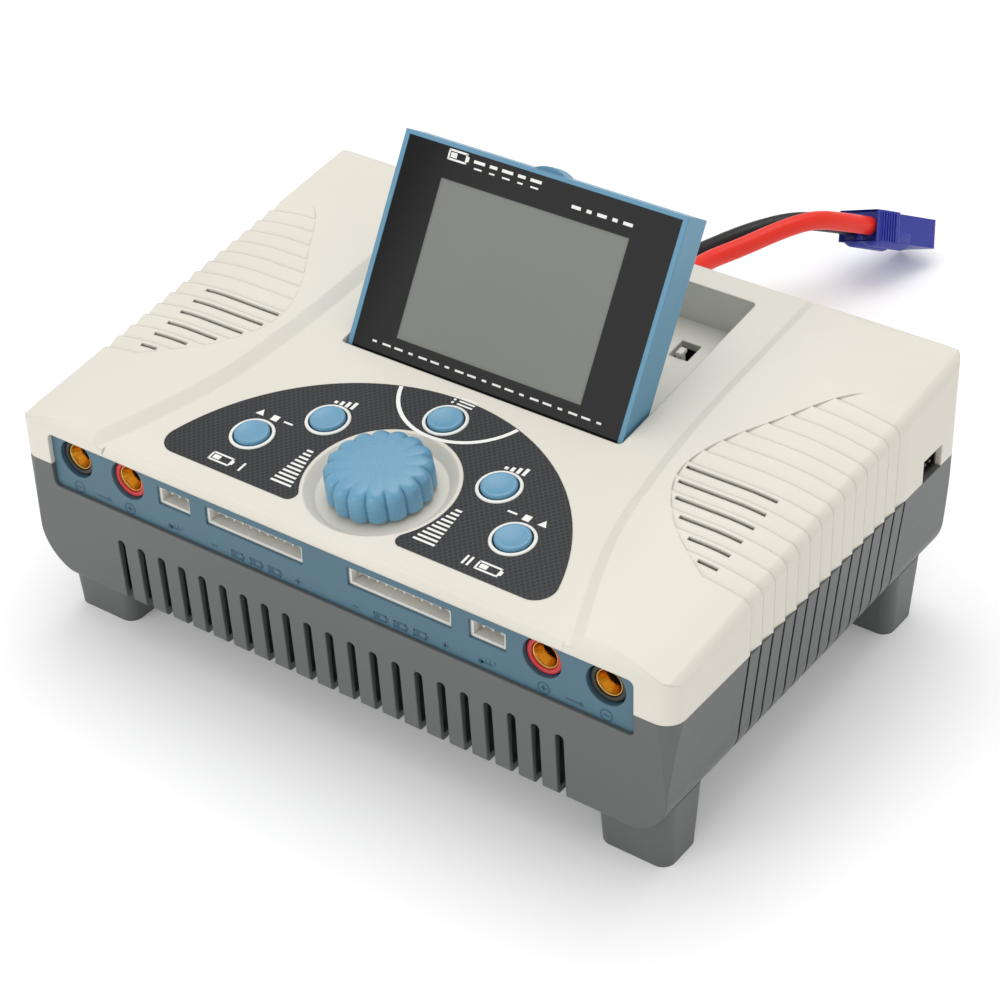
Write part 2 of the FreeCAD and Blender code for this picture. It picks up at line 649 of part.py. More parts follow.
def make_encoder():
    """Rotary encoder: body on the control board, threaded bush, and the turning, pressing shaft."""
    floor = -size("board_depth")
    along = deck_along(size("knob_y"))
    corner = -size("encoder_side") / 2
    cup = box("encoder_side", "encoder_side", "encoder_tall", (corner, corner, 0))
    bush = cylinder("shaft_radius + 0.5", "bush_tall")
    bore = cylinder("shaft_radius + 0.05", "9", (0, 0, 0.7))
    node(cut(fuse([cup, bush]), bore), "encoder_body", deck(0, along, floor))
    shaft_up = size("knob_gap") - size("dish_deep") + size("knob_tall") - 2.0
    low = -size("board_depth") + 1.4
    shaft = cylinder("shaft_radius", str(round(shaft_up - low, 3)))
    node(shaft, "encoder_shaft", deck(0, along, low))


def make_switches():
    """Tact switches under the buttons, each a square base with a round plunger."""
    corner = -size("switch_side") / 2
    for label, (x, y) in zip(BUTTONS, button_places()):
        base = box("switch_side", "switch_side", "switch_tall", (corner, corner, 0))
        plunger = cylinder("plunger_radius", "plunger_tall")
        node(fuse([base, plunger]), "switch_" + label, deck(x, deck_along(y), -size("board_depth")))


BUTTONS = ["start_left", "status_left", "menu", "status_right", "start_right"]


def make_control_board():
    body = new_body("control_board", deck(0, 0, -size("board_depth") - size("board_thick")))
    sketch = sketch_on(body, "BoardSketch")
    add_rectangle(sketch, 0, -28.2, "control_board_wide", "control_board_deep")
    pad(body, sketch, "board_thick")


# ================================================================ front panel and sockets
BULLETS = {"left_black": (-1, "bullet_outer_x"), "left_red": (-1, "bullet_inner_x"),
           "right_red": (1, "bullet_inner_x"), "right_black": (1, "bullet_outer_x")}
PORTS = {"temp_left": (-1, "temp_x", "temp_width", 3), "balance_left": (-1, "balance_x", "balance_width", 11),
         "balance_right": (1, "balance_x", "balance_width", 11), "temp_right": (1, "temp_x", "temp_width", 3)}


def make_front_panel():
    inner_face = -size("panel_face") + size("panel_thickness")
    body = new_body("front_panel", front(0, size("panel_middle"), inner_face))
    plate = sketch_on(body, "PlateSketch")
    add_rectangle(plate, 0, 0, "panel_width - 0.1", "panel_height - 0.1")
    slab = pad(body, plate, "panel_thickness")
    round_edges(body, slab, 1.5, is_upright)
    for side, place in BULLETS.values():
        hole = sketch_on(body, "BulletHole")
        up = size("bullet_height") - size("panel_middle")
        add_circle(hole, side * size(place), up, "bullet_collar + 0.3")
        pocket(body, hole, "panel_thickness + 1", up=True)
    for side, place, width, _ in PORTS.values():
        hole = sketch_on(body, "PortHole")
        add_rectangle(hole, side * size(place), size("port_height") - size("panel_middle"), width, "port_tall")
        pocket(body, hole, "panel_thickness + 1", up=True)


def make_bullet(label, side, place):
    """Round output socket: a plastic collar and insulator round a gold-plated tube."""
    at = (side * size(place), size("bullet_height"))
    long, sunk = size("bullet_length"), size("bullet_sunk")
    collar = cylinder("bullet_collar", "collar_long", (0, 0, -sunk - size("collar_long")))
    sleeve = cylinder("bullet_shell + 0.8", "bullet_length - bullet_sunk", (0, 0, -long))
    hole = cylinder("bullet_shell", "bullet_length + 4", (0, 0, -long - 1))
    node(cut(fuse([collar, sleeve]), hole), "socket_" + label, front(*at))
    tube = cylinder("bullet_shell", "bullet_length - bullet_sunk", (0, 0, -long))
    bore = cylinder("bullet_bore", "bullet_length", (0, 0, -long + 1.6))
    mouth = doc.addObject("Part::Cone", "Mouth")
    bind(mouth, Radius1="bullet_bore", Radius2="bullet_mouth", Height="bullet_lead_in")
    mouth.Placement = Placement(Vector(0, 0, -sunk - size("bullet_lead_in")), Rotation())
    node(cut(tube, fuse([bore, mouth])), "contact_" + label, front(*at))


def make_port(label, side, place, width):
    """Open-fronted white header with keyed upper wall."""
    at = (side * size(place), size("port_height"))
    wide, tall, wall = size(width), size("port_tall"), size("port_wall")
    sunk = size("port_sunk")
    shell = box(width, "port_tall", "port_deep - port_sunk", (-wide / 2, -tall / 2, -size("port_deep")))
    room = box(width + " - 2 * port_wall", "port_tall - 2 * port_wall", "port_room",
               (-wide / 2 + wall, -tall / 2 + wall, -sunk - size("port_room")))
    notch_y = tall / 2 - wall - 0.5
    notches = [box("1.8", "port_wall + 1", "4", (x - 0.9, notch_y, -3.7)) for x in notch_places(wide)]
    node(cut(shell, fuse([room] + notches)), "port_" + label, front(*at))


def make_header_pins():
    """Square tinned pins of the four front headers, all alike."""
    side_length = size("pin_side")
    row = []
    for side, place, _, pins in PORTS.values():
        for i in range(pins):
            x = side * size(place) + (i - (pins - 1) / 2) * size("pin_pitch")
            corner = (x - side_length / 2, -side_length / 2, -size("port_room") - 2.2)
            row.append(box("pin_side", "pin_side", "port_room", corner))
    node(group(row), "header_pins", front(0, size("port_height")))


def notch_places(wide):
    """Key notches near both ends of a header's upper wall."""
    return [-wide / 2 + 2.8, wide / 2 - 2.8]


def make_port_board():
    behind = size("port_deep") + size("board_thick")
    body = new_body("port_board", front(0, size("port_board_middle"), -size("panel_face") + behind))
    sketch = sketch_on(body, "BoardSketch")
    add_rectangle(sketch, 0, 0, "port_board_wide", "port_board_tall")
    pad(body, sketch, "board_thick")


def make_link_socket():
    """Small black two-by-three pin header in a notch of the right side."""
    turn = Rotation(Vector(0, 1, 0), Vector(0, 0, 1), Vector(1, 0, 0), "ZXY")
    place = Placement(Vector(HALF_W - 1.4, size("link_y"), size("link_z")), turn)
    long, tall, wall = size("link_long") / 2, size("link_tall") / 2, size("link_wall")
    shell = box("link_long", "link_tall", "link_deep", (-long, -tall, -size("link_deep")))
    room = box("link_long - 2 * link_wall", "link_tall - 2 * link_wall", "link_room",
               (-long + wall, -tall + wall, -4.0))
    node(cut(shell, room), "link_socket", place)
    pins = []
    for column in (-1, 0, 1):
        for row in (-1, 1):
            at = (column * 2.2 - 0.3, row * 1.1 - 0.3, -4.8)
            pins.append(box("pin_side", "pin_side", "link_pin", at))
    node(group(pins), "link_pins", place)


# ================================================================ display
def make_display():
    half, tall, thick = size("display_half"), size("display_tall"), size("display_thick")
    frame = new_body("display_frame", display_frame_at(0, 0, -thick))
    outline = sketch_on(frame, "OutlineSketch")
    add_rectangle(outline, 0, tall / 2, "2 * display_half", "display_tall")
    slab = pad(frame, outline, "display_thick")
    round_edges(frame, slab, 2.2, at_level(0))
    tab = sketch_on(frame, "TabSketch", 3.6)
    add_circle(tab, 0, tall - 7.4, "tab_radius")
    pad(frame, tab, "tab_thick")
    seat = sketch_on(frame, "GlassSeat", thick)
    add_rectangle(seat, 0, tall / 2, "2 * glass_half + 0.1", "glass_tall + 0.1")
    pocket(frame, seat, "glass_thick + 0.1")
    room = sketch_on(frame, "RoomSketch", thick)
    add_rectangle(room, 0, tall / 2 + 0.6, "2 * display_half - 2 * display_rim", "display_room")
    pocket(frame, room, "display_thick")
    hinge = sketch_on(frame, "HingeHoles", 0, "YZ_Plane")
    hinge.AttachmentOffset = Placement(Vector(0, 0, -half - 1), Rotation())
    add_circle(hinge, size("hinge_up"), thick - size("hinge_in"), "pin_radius")
    pocket(frame, hinge, "2 * display_half + 2", up=True)

    glass = new_body("display_glass", display_frame_at(0, 0, -0.1 - size("glass_thick")))
    pane = sketch_on(glass, "PaneSketch")
    add_rectangle(pane, 0, tall / 2, "2 * glass_half", "glass_tall")
    pad(glass, pane, "glass_thick")

    back = new_body("display_back", display_frame_at(0, 0, -thick))
    cover = sketch_on(back, "CoverSketch")
    add_rectangle(cover, 0, tall / 2 + 0.6, "2 * display_half - 2 * display_rim - 0.1", "display_room - 0.1")
    pad(back, cover, "board_thick")
    bosses = sketch_on(back, "BossSketch")
    for x in (-31, 31):
        for up in (9.5, 46.5):
            add_circle(bosses, x, up, "pin_radius + 1.2")
    pad(back, bosses, "back_boss")

    panel = new_body("lcd_panel", display_frame_at(0, 0, -4.2))
    cell = sketch_on(panel, "CellSketch")
    add_rectangle(cell, 0, tall / 2 - 0.6, "lcd_wide", "lcd_tall")
    pad(panel, cell, "lcd_thick")

    board = new_body("display_board", display_frame_at(0, 0, -5.4))
    plate = sketch_on(board, "BoardSketch")
    add_rectangle(plate, 0, tall / 2 + 0.6, "screen_board_wide", "screen_board_tall")
    pad(board, plate, "screen_board_thick")

    pins = []
    for side in (-1, 1):
        start = side * (half - 5.8)
        turn = Rotation(Vector(0, 1, 0), 90 * side)
        pins.append(cylinder("pin_radius", "8.4", (start, size("hinge_up"), -size("hinge_in")), turn))
    node(group(pins), "display_hinge_pins", display_frame_at())


def make_latches():
    """Spring tongues that stand in the recess floor and hold the closed display."""
    for label, (x0, x1, y0, y1) in zip(("latch_right", "latch_left"), latch_windows()):
        middle = (x0 + x1) / 2
        deep = size("recess_deep")
        root = box("5", "11", "1.6", (middle - 2.5, y0 - 9, -deep - 4.0))
        tongue = box("1.8", "1.6", "4.8", (middle - 0.9, y0 + 0.4, -deep - 4.0))
        hook = box("1.8", "2.6", "1.0", (middle - 0.9, y0 + 0.4, -deep + 0.2))
        posts = [box("1.4", "3", "1.75", (middle + dx, y0 - 9, -deep - 4.0)) for dx in (-2.5, 1.1)]
        node(fuse([root, tongue, hook] + posts), label, deck())


# ================================================================ rear and inside
def make_rear_panel():
    wide = 2 * size("rear_half") - 0.1
    low, high = size("rear_low") + 0.05, size("rear_high") - 0.05
    outer_y = HALF_D - 0.6
    plate = block(-wide / 2, wide / 2, outer_y - 2.0, outer_y, low, high)
    rims = [edge for edge in plate.Edges if edge.BoundBox.XLength < 1e-6 and edge.BoundBox.ZLength < 1e-6]
    plate = plate.makeFillet(1.5, rims)
    for side in (-1, 1):
        x, z = side * size("fan_x"), size("fan_height")
        for level in range(-3, 4):
            rise = level * 5.2
            half = math.sqrt(size("fan_bore") ** 2 - rise ** 2) - 1.0
            plate = plate.cut(block(x - half, x + half, 0, FAR, z + rise - 1.5, z + rise + 1.5))
    plate = plate.cut(gland_neck(0.0))
    feature("rear_panel", plate)


def gland_neck(grow):
    """Oblong neck where the two input leads pass through the rear panel."""
    x, z = size("exit_x"), size("exit_z")
    half = size("lead_apart")
    tall = 4.3 + grow
    neck = block(x - half, x + half, HALF_D - 6, HALF_D + 0.2, z - tall, z + tall)
    for end in (-half, half):
        neck = neck.fuse(Part.makeCylinder(tall, 6.2, Vector(x + end, HALF_D - 6, z), Vector(0, 1, 0)))
    return neck.removeSplitter()


def make_gland():
    """Moulded strain relief with a flange outside and one short neck for each lead."""
    x, z, apart = size("exit_x"), size("exit_z"), size("lead_apart")
    outer_y = HALF_D - 0.6
    solid = gland_neck(0.0)
    flange = gland_neck(1.6).common(block(-FAR, FAR, outer_y, HALF_D + 0.2, 0, FAR))
    solid = solid.fuse(flange)
    for dx in (-apart, apart):
        neck = Part.makeCone(3.9, 3.3, size("gland_face") - HALF_D, Vector(x + dx, HALF_D, z), Vector(0, 1, 0))
        solid = solid.fuse(neck)
    feature("lead_gland", solid.removeSplitter())


def make_fan(label, side):
    """Square axial fan: frame with stator arms behind, and a seven-blade rotor."""
    half = size("fan_side") / 2
    thick = size("fan_thick")
    place = rear(side * size("fan_x"), size("fan_height"), HALF_D - 2.6 - thick)
    frame = rounded_block(-half, half, -half, half, 0, thick, 3)
    frame = frame.cut(Part.makeCylinder(size("fan_bore"), thick, Vector(0, 0, 0)))
    arms = [block(-1.2, 1.2, 0, size("fan_bore") + 1, 0, 1.8) for _ in range(4)]
    for i, arm in enumerate(arms):
        arm.rotate(Vector(0, 0, 0), Vector(0, 0, 1), 45 + 90 * i)
    stator = Part.makeCylinder(size("hub_radius"), 2.4).fuse(arms)
    post = Part.makeCylinder(1.5, thick - 6.4, Vector(0, 0, 2.0))
    frame = frame.fuse(stator).fuse(post)
    for sx in (-1, 1):
        for sy in (-1, 1):
            frame = frame.cut(Part.makeCylinder(1.6, thick + 2, Vector(sx * 16, sy * 16, -1)))
    feature("fan_frame_" + label, frame.removeSplitter(), place)

    hub = Part.makeCylinder(size("hub_radius"), thick - 4.6, Vector(0, 0, 3.0))
    hub = hub.cut(Part.makeCylinder(1.55, thick - 6.4, Vector(0, 0, 2.5)))
    blades = []
    count = 7
    for i in range(count):
        blade = block(size("hub_radius") - 1, size("rotor_radius"), -0.7, 0.7, -5.4, 5.4)
        blade.rotate(Vector(0, 0, 0), Vector(1, 0, 0), 48)
        blade.translate(Vector(0, 0, thick / 2 + 0.6))
        blade.rotate(Vector(0, 0, 0), Vector(0, 0, 1), i * 360 / count)
        blades.append(blade.common(Part.makeCylinder(size("rotor_radius"), thick)))
    feature("fan_rotor_" + label, hub.fuse(blades).removeSplitter(), place)


def make_main_board():
    body = new_body("main_board", Placement(Vector(0, 0, size("main_board_up")), Rotation()))
    outline = sketch_on(body, "BoardSketch")
    add_rectangle(outline, 0, -2, "main_board_wide", "main_board_deep")
    pad(body, outline, "board_thick")


def make_heatsink(label, side):
    """Finned aluminium block over one channel's power stage."""
    board_top = size("main_board_up") + size("board_thick")
    body = new_body(label, Placement(Vector(side * 56, 14, board_top), Rotation()))
    base = sketch_on(body, "BaseSketch")
    add_rectangle(base, 0, 0, "sink_wide", "sink_deep")
    pad(body, base, "sink_base")
    fin = sketch_on(body, "FinSketch")
    outer_fin = size("sink_wide") / 2 - 2
    add_rectangle(fin, -outer_fin, 0, "fin_thick", "sink_deep")
    first = pad(body, fin, "fin_tall")
    row = body.newObject("PartDesign::LinearPattern", "Fins")
    row.Originals = [first]
    row.Direction = (fin, ["H_Axis"])
    row.Length = 2 * outer_fin
    row.Occurrences = 9
    body.Tip = row


def make_power_parts():
    """Capacitors and wound inductors of the two converter channels."""
    board_top = size("main_board_up") + size("board_thick")
    cans = [cylinder("can_radius", "can_tall", (x, y, board_top)) for x in (-14, 0, 14) for y in (-2, 12)]
    node(group(cans), "capacitors")
    for label, x in (("inductor_left", -44), ("inductor_right", 44)):
        ring = doc.addObject("Part::Torus", "Ring")
        bind(ring, Radius1="coil_radius", Radius2="coil_thick")
        node(ring, label, Placement(Vector(x, -24, board_top + size("coil_thick")), Rotation()))


def make_screws():
    """Four housing screws: pan heads sunk in the feet, shanks up into the top shell's posts."""
    screws = []
    for x, y in screw_places():
        head = cylinder("screw_head", "2.2", (x, y, 11.8))
        shank = cylinder("screw_radius", "40", (x, y, 14))
        screws.append(fuse([head, shank]))
    node(group(screws), "housing_screws")


# ================================================================ input leads and plug
PLUG_ENTRY = (-2.9, 191.5, 18.0)
PLUG_YAW, PLUG_PITCH, PLUG_ROLL = 71.6, 25.5, -24.4
RED_ROUTE = [(-20, 66.5, 30), (-20.6, 86, 29.3), (-23.4, 110, 27), (-23.8, 135.3, 26), (-18.2, 148.3, 26.6),
             (-12.6, 161, 28.2), (-7.4, 170.8, 28.6), (-3.3, 179.9, 24.9), (0.4, 191.1, 19.3)]
BLACK_ROUTE = [(-28, 66.5, 30), (-28.8, 86, 29.2), (-33.2, 109, 26.4), (-34.2, 130, 23.4), (-30.5, 147.5, 22),
               (-25.5, 162.5, 22.4), (-16.5, 173.4, 24.2), (-9.9, 180.8, 22.3), (-6.2, 191.9, 16.7)]


def lead_path(route):
    """Straight runs joined by tangent arcs; each arc's size follows its shorter run."""
    points = [Vector(*place) for place in route]
    edges = []
    start = points[0]
    radii = []
    for before, corner, after in zip(points, points[1:], points[2:]):
        into, away = (corner - before), (after - corner)
        run = min(into.Length, away.Length)
        into.normalize()
        away.normalize()
        turn = into.getAngle(away)
        reach = 0.45 * run
        radii.append(reach / math.tan(turn / 2))
        first, last = corner - into * reach, corner + away * reach
        bow = radii[-1] * (1 / math.cos(turn / 2) - 1)
        inner = away - into
        inner.normalize()
        edges.append(Part.makeLine(start, first))
        edges.append(Part.Arc(first, corner + inner * bow, last).toShape())
        start = last
    edges.append(Part.makeLine(start, points[-1]))
    return Part.Wire(edges), radii


def make_lead(label, route):
    wire, radii = lead_path(route)
    radius = size("lead_radius")
    first = wire.Edges[0]
    heading = first.tangentAt(first.FirstParameter)
    ring = Part.Wire(Part.makeCircle(radius, Vector(*route[0]), heading))
    tube = wire.makePipeShell([ring], True, False)
    expected = math.pi * radius ** 2 * wire.Length
    print(f"{label}: length {wire.Length:.1f}, radii {[round(r) for r in radii]}, "
          f"volume ratio {tube.Volume / expected:.4f}")
    feature(label, tube)


def plug_frame():
    """Frame on the plug's cable end: x along the plug, its nose resting on the table."""
    return Placement(Vector(*PLUG_ENTRY), Rotation(PLUG_YAW, PLUG_PITCH, PLUG_ROLL))


def make_plug():
    """Two-pole plug: grip, waist and nose, with two gold sockets in the far end."""
    long, half_w, half_h = size("plug_long"), size("plug_wide") / 2, size("plug_tall") / 2
    grip_long, waist = 10, 0.4
    grip = rounded_block(0, grip_long, -half_w, half_w, -half_h, half_h, 1.2)
    nose_w, nose_h = half_w - waist, half_h - waist
    nose = rounded_block(grip_long - 1, long, -nose_w, nose_w, -nose_h, nose_h, 1)
    shell = grip.fuse(nose)
    tube_long = 13
    lead_hole = 3.6
    outer = size("contact_radius")
    tubes = []
    for y in (-size("plug_pole"), size("plug_pole")):
        seat = Part.makeCylinder(outer, tube_long + 1, Vector(long - tube_long - 1, y, 0), Vector(1, 0, 0))
        entry = Part.makeCylinder(size("lead_radius") + 0.2, lead_hole, Vector(0, y, 0), Vector(1, 0, 0))
        shell = shell.cut([seat, entry])
        tube = Part.makeCylinder(outer, tube_long, Vector(long - tube_long - 1, y, 0), Vector(1, 0, 0))
        bore = Part.makeCylinder(outer - 0.4, tube_long, Vector(long - tube_long, y, 0), Vector(1, 0, 0))
        tubes.append(tube.cut(bore))
    feature("plug_shell", shell.removeSplitter(), plug_frame())
    feature("plug_contacts", Part.makeCompound(tubes), plug_frame())


# ================================================================ build
feature("top_shell", make_top_shell())
feature("bottom_shell", make_bottom_shell())
make_front_panel()
make_rear_panel()
make_keypad()
for name, (x, y) in zip(BUTTONS, button_places()):
    make_button("button_" + name, x, y)
make_switches()
make_control_board()
make_encoder()
make_knob()
for name, (side, place) in BULLETS.items():
    make_bullet(name, side, place)
for name, (side, place, width, _) in PORTS.items():
    make_port(name, side, place, width)
make_header_pins()
make_port_board()
make_link_socket()
make_display()
make_latches()
make_gland()
make_fan("left", -1)
make_fan("right", 1)
make_main_board()
make_heatsink("heatsink_left", -1)
make_heatsink("heatsink_right", 1)
make_power_parts()
make_screws()
make_lead("input_lead_red", RED_ROUTE)
make_lead("input_lead_black", BLACK_ROUTE)
make_plug()
doc.recompute()

for item in doc.Objects:
    if "Invalid" in item.State or "Error" in item.State:
        raise RuntimeError(f"{item.Name} ({item.TypeId}) did not build: {item.State}")
for item in nodes:
    if item.Shape.isNull() or not item.Shape.isValid():
        raise RuntimeError(f"{item.Label} has no valid shape")

os.makedirs("parts", exist_ok=True)
for item in nodes:
    item.Shape.exportStep(f"parts/{item.Label}.step")
    print(f"{item.Label}: {item.Shape.Volume / 1000:.2f} cm3, {len(item.Shape.Solids)} solid(s)")
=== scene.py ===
# %% [markdown]
# # A two-channel balance battery charger
# The imported CAD model comes in as a fixed frame. Each later cell adds a finish or a finer piece
# to it, and many places are worked out from the frame's own boxes and faces, in metres.

# %% Load the frame
import bmesh
import bpy
import math
from mathutils import Euler, Matrix, Vector


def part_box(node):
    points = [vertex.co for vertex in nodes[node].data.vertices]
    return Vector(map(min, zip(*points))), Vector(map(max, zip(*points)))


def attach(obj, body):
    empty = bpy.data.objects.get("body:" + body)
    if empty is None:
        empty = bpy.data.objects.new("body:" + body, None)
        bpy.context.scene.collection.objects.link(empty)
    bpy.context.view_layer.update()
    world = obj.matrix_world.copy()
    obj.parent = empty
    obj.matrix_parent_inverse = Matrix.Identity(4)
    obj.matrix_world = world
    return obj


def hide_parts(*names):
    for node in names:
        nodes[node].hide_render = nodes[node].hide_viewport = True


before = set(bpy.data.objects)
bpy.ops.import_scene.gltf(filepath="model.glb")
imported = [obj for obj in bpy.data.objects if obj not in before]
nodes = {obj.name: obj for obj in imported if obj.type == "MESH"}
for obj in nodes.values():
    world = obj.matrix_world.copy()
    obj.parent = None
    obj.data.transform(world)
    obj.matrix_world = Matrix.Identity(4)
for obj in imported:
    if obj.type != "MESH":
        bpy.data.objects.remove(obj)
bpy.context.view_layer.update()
MM = 0.001

# %% [markdown]
# ## The camera
# A product is usually taken from above one front corner with a long lens, which keeps its
# verticals nearly parallel. The camera is set by where it stands, what it looks at and how far
# it leans, because those three can be read and changed one at a time.

# %% Camera
LENS_MM = 93.6
SENSOR_MM = 36
CAMERA_AT = Vector((0.3136, -0.4152, 0.4002))
LOOK_AT = Vector((0.00876, -0.00721, 0.040))
LEAN = math.radians(-1.775)

camera_data = bpy.data.cameras.new("product_camera")
camera_data.lens = LENS_MM
camera_data.sensor_width = SENSOR_MM
camera_data.clip_start = 0.01
camera = bpy.data.objects.new("product_camera", camera_data)
bpy.context.scene.collection.objects.link(camera)
facing = (LOOK_AT - CAMERA_AT).to_track_quat("-Z", "Y").to_matrix().to_4x4()
camera.matrix_world = Matrix.Translation(CAMERA_AT) @ facing @ Matrix.Rotation(LEAN, 4, "Z")
bpy.context.scene.camera = camera
print("camera to target:", round((LOOK_AT - CAMERA_AT).length, 3), "m")

# %% [markdown]
# ## Colour and shader helpers
# Screen colours are written as sRGB hex, but a shader works in linear light, so one function
# turns them over. One more adds a node with its settings, its constants and its links.

# %% Helpers for materials


def linear(hex_colour, alpha=1.0):
    """sRGB hex to the linear colour that a shader works in."""
    channels = [int(hex_colour[i:i + 2], 16) / 255 for i in (1, 3, 5)]
    return [c / 12.92 if c <= 0.04045 else ((c + 0.055) / 1.055) ** 2.4 for c in channels] + [alpha]


def add(tree, kind, settings=None, sockets=None):
    """A shader node with its settings; each socket takes a constant or another node's output."""
    made = tree.nodes.new("ShaderNode" + kind)
    for name, value in (settings or {}).items():
        setattr(made, name, value)
    for name, value in (sockets or {}).items():
        if isinstance(value, bpy.types.NodeSocket):
            tree.links.new(value, made.inputs[name])
        else:
            made.inputs[name].default_value = value
    return made


def new_material(name, **constants):
    """A material with a bare Principled shader; constants are its sockets by name."""
    material = bpy.data.materials.new(name)
    material.use_nodes = True
    tree = material.node_tree
    tree.nodes.clear()
    sockets = {key.replace("_", " "): value for key, value in constants.items()}
    shader = add(tree, "BsdfPrincipled", sockets=sockets)
    add(tree, "OutputMaterial", sockets={"Surface": shader.outputs[0]})
    return material, tree, shader


def ramp(tree, factor, stops):
    """A colour ramp from (place, linear colour) stops."""
    made = add(tree, "ValToRGB", sockets={"Fac": factor})
    elements = made.color_ramp.elements
    elements[0].position, elements[0].color = stops[0]
    elements[1].position, elements[1].color = stops[-1]
    for place, colour in stops[1:-1]:
        elements.new(place).color = colour
    return made.outputs["Color"]


def shade(hex_colour, gain):
    """A linear colour made lighter or darker."""
    return [c * gain for c in linear(hex_colour)[:3]] + [1.0]


# %% [markdown]
# ## Moulded plastics
# The shells are ABS moulded in a spark-eroded tool, which leaves a fine, even grain with a satin
# sheen. The grain itself is about 0.1 mm; it is drawn at 0.35 mm, as coarse as it needs to be to
# show at all. A broad, faint cloud in the colour stands for flow in the moulding. The Bevel node
# turns the shading along each sharp edge, as the small radius of a real moulding does. On the two
# shells painted shade darkens the colour inside a narrow groove or slot, where little light reaches.

# %% Moulded plastic


GRAIN_MM = 0.35
GRAIN_DEPTH_MM = 0.02
CLOUD_MM = 40
MOTTLE = 0.03


def moulded_plastic(name, colour, roughness=0.45, edge_mm=0.35, painted_crevice_shade=None):
    """painted_crevice_shade: how far openness is looked for in mm, and the openness at which the painted
    shade is darkest and where the colour is full again.
    """
    material, tree, shader = new_material(name, IOR=1.53, Roughness=roughness)
    place = add(tree, "TexCoord").outputs["Object"]
    cloud = add(tree, "TexNoise", sockets={"Vector": place, "Scale": 1 / (CLOUD_MM * MM), "Detail": 3.0})
    colours = ramp(tree, cloud.outputs[0],
                   [(0.3, shade(colour, 1 - MOTTLE)), (0.7, shade(colour, 1 + MOTTLE))])
    # Painted shade: where the surface is closed in, as in a groove or slot, the colour is multiplied
    # darker.
    if painted_crevice_shade:
        reach_mm, darkest, full = painted_crevice_shade
        openness = add(tree, "AmbientOcclusion", {"only_local": True, "samples": 8},
                       {"Distance": reach_mm * MM})
        depth = add(tree, "MapRange", sockets={"Value": openness.outputs["AO"], "From Min": darkest,
                                               "From Max": full, "To Min": 0.03})
        darkened = add(tree, "MixRGB", {"blend_type": "MULTIPLY"},
                       {"Fac": 1.0, "Color1": colours, "Color2": depth.outputs[0]})
        colours = darkened.outputs[0]
    tree.links.new(colours, shader.inputs["Base Color"])
    grain = add(tree, "TexNoise", sockets={"Vector": place, "Scale": 1 / (GRAIN_MM * MM), "Detail": 2.0})
    rough = add(tree, "MapRange", sockets={"Value": grain.outputs[0], "From Min": 0.3, "From Max": 0.7,
                                           "To Min": roughness - 0.05, "To Max": roughness + 0.06})
    tree.links.new(rough.outputs[0], shader.inputs["Roughness"])
    soft = add(tree, "Bevel", {"samples": 6}, {"Radius": edge_mm * MM})
    bump = add(tree, "Bump", sockets={"Height": grain.outputs[0], "Distance": GRAIN_DEPTH_MM * MM,
                                      "Normal": soft.outputs[0]})
    tree.links.new(bump.outputs[0], shader.inputs["Normal"])
    return material


# Both shells carry painted shade in their grooves and slots, the grey one more strongly.
CREAM = moulded_plastic("cream_abs", "#DDD8CC", roughness=0.45, edge_mm=0.7, painted_crevice_shade=(2.4, 0.16, 0.42))
GREY = moulded_plastic("grey_abs", "#5A5D5C", roughness=0.45, edge_mm=0.6, painted_crevice_shade=(2.4, 0.45, 0.8))
PANEL_BLUE = moulded_plastic("panel_blue_abs", "#46697A", roughness=0.5)
FRAME_BLUE = moulded_plastic("frame_blue_abs", "#5C92AF", roughness=0.38)
CAP_BLUE = moulded_plastic("cap_blue_abs", "#6499B7", roughness=0.28, edge_mm=0.2)
WHITE_NYLON = moulded_plastic("white_nylon", "#E6E4DC", roughness=0.5, edge_mm=0.12)
BLACK_NYLON = moulded_plastic("black_nylon", "#1C1A19", roughness=0.4, edge_mm=0.15)
RED_NYLON = moulded_plastic("red_nylon", "#C1272B", roughness=0.3, edge_mm=0.3)
FAN_PBT = moulded_plastic("black_pbt", "#161616", roughness=0.5, edge_mm=0.2)
PLUG_BLUE = moulded_plastic("plug_blue_nylon", "#0A1E94", roughness=0.3, edge_mm=0.25)
print("plastics:", len(bpy.data.materials))

# %% [markdown]
# ## Metals, board and rubber
# Gold plate over brass, tin on header pins, zinc on screws and drawn aluminium differ in colour
# and in how rough they are. Brushing or plating marks are a stretched noise in the roughness.

# %% Metals


STREAK_MM = 0.3


def metal(name, colour, roughness, streak=(1.0, 1.0, 0.05)):
    material, tree, shader = new_material(name, Metallic=1.0, Base_Color=linear(colour),
                                          Roughness=roughness)
    place = add(tree, "TexCoord").outputs["Object"]
    stretched = add(tree, "Mapping", sockets={"Vector": place, "Scale": streak})
    marks = add(tree, "TexNoise", sockets={"Vector": stretched.outputs[0],
                                           "Scale": 1 / (STREAK_MM * MM)})
    rough = add(tree, "MapRange", sockets={"Value": marks.outputs[0], "From Min": 0.3, "From Max": 0.7,
                                           "To Min": roughness * 0.75, "To Max": roughness * 1.35})
    tree.links.new(rough.outputs[0], shader.inputs["Roughness"])
    return material


GOLD = metal("gold_plate", "#E0B25C", 0.2)
# A dark brass that stands for the shade down the sockets' bores: painted shade.
BORE_SHADE_BRASS = metal("bore_shade_brass", "#4A3A1C", 0.55)
TIN = metal("tin_plate", "#C9C6BD", 0.3)
ZINC = metal("zinc_plate", "#A9ABAE", 0.35)
ALUMINIUM = metal("drawn_aluminium", "#C4C7CA", 0.38, streak=(0.05, 1.0, 1.0))
COPPER = metal("enamelled_copper", "#B4632F", 0.3)
CAN = metal("sleeved_can", "#3C4650", 0.45)


# %% Circuit board and silicone
MASK_GREEN = "#0F5A33"
TRACE_PITCH_MM = 4
SKIN_WAVE_MM = 1.2


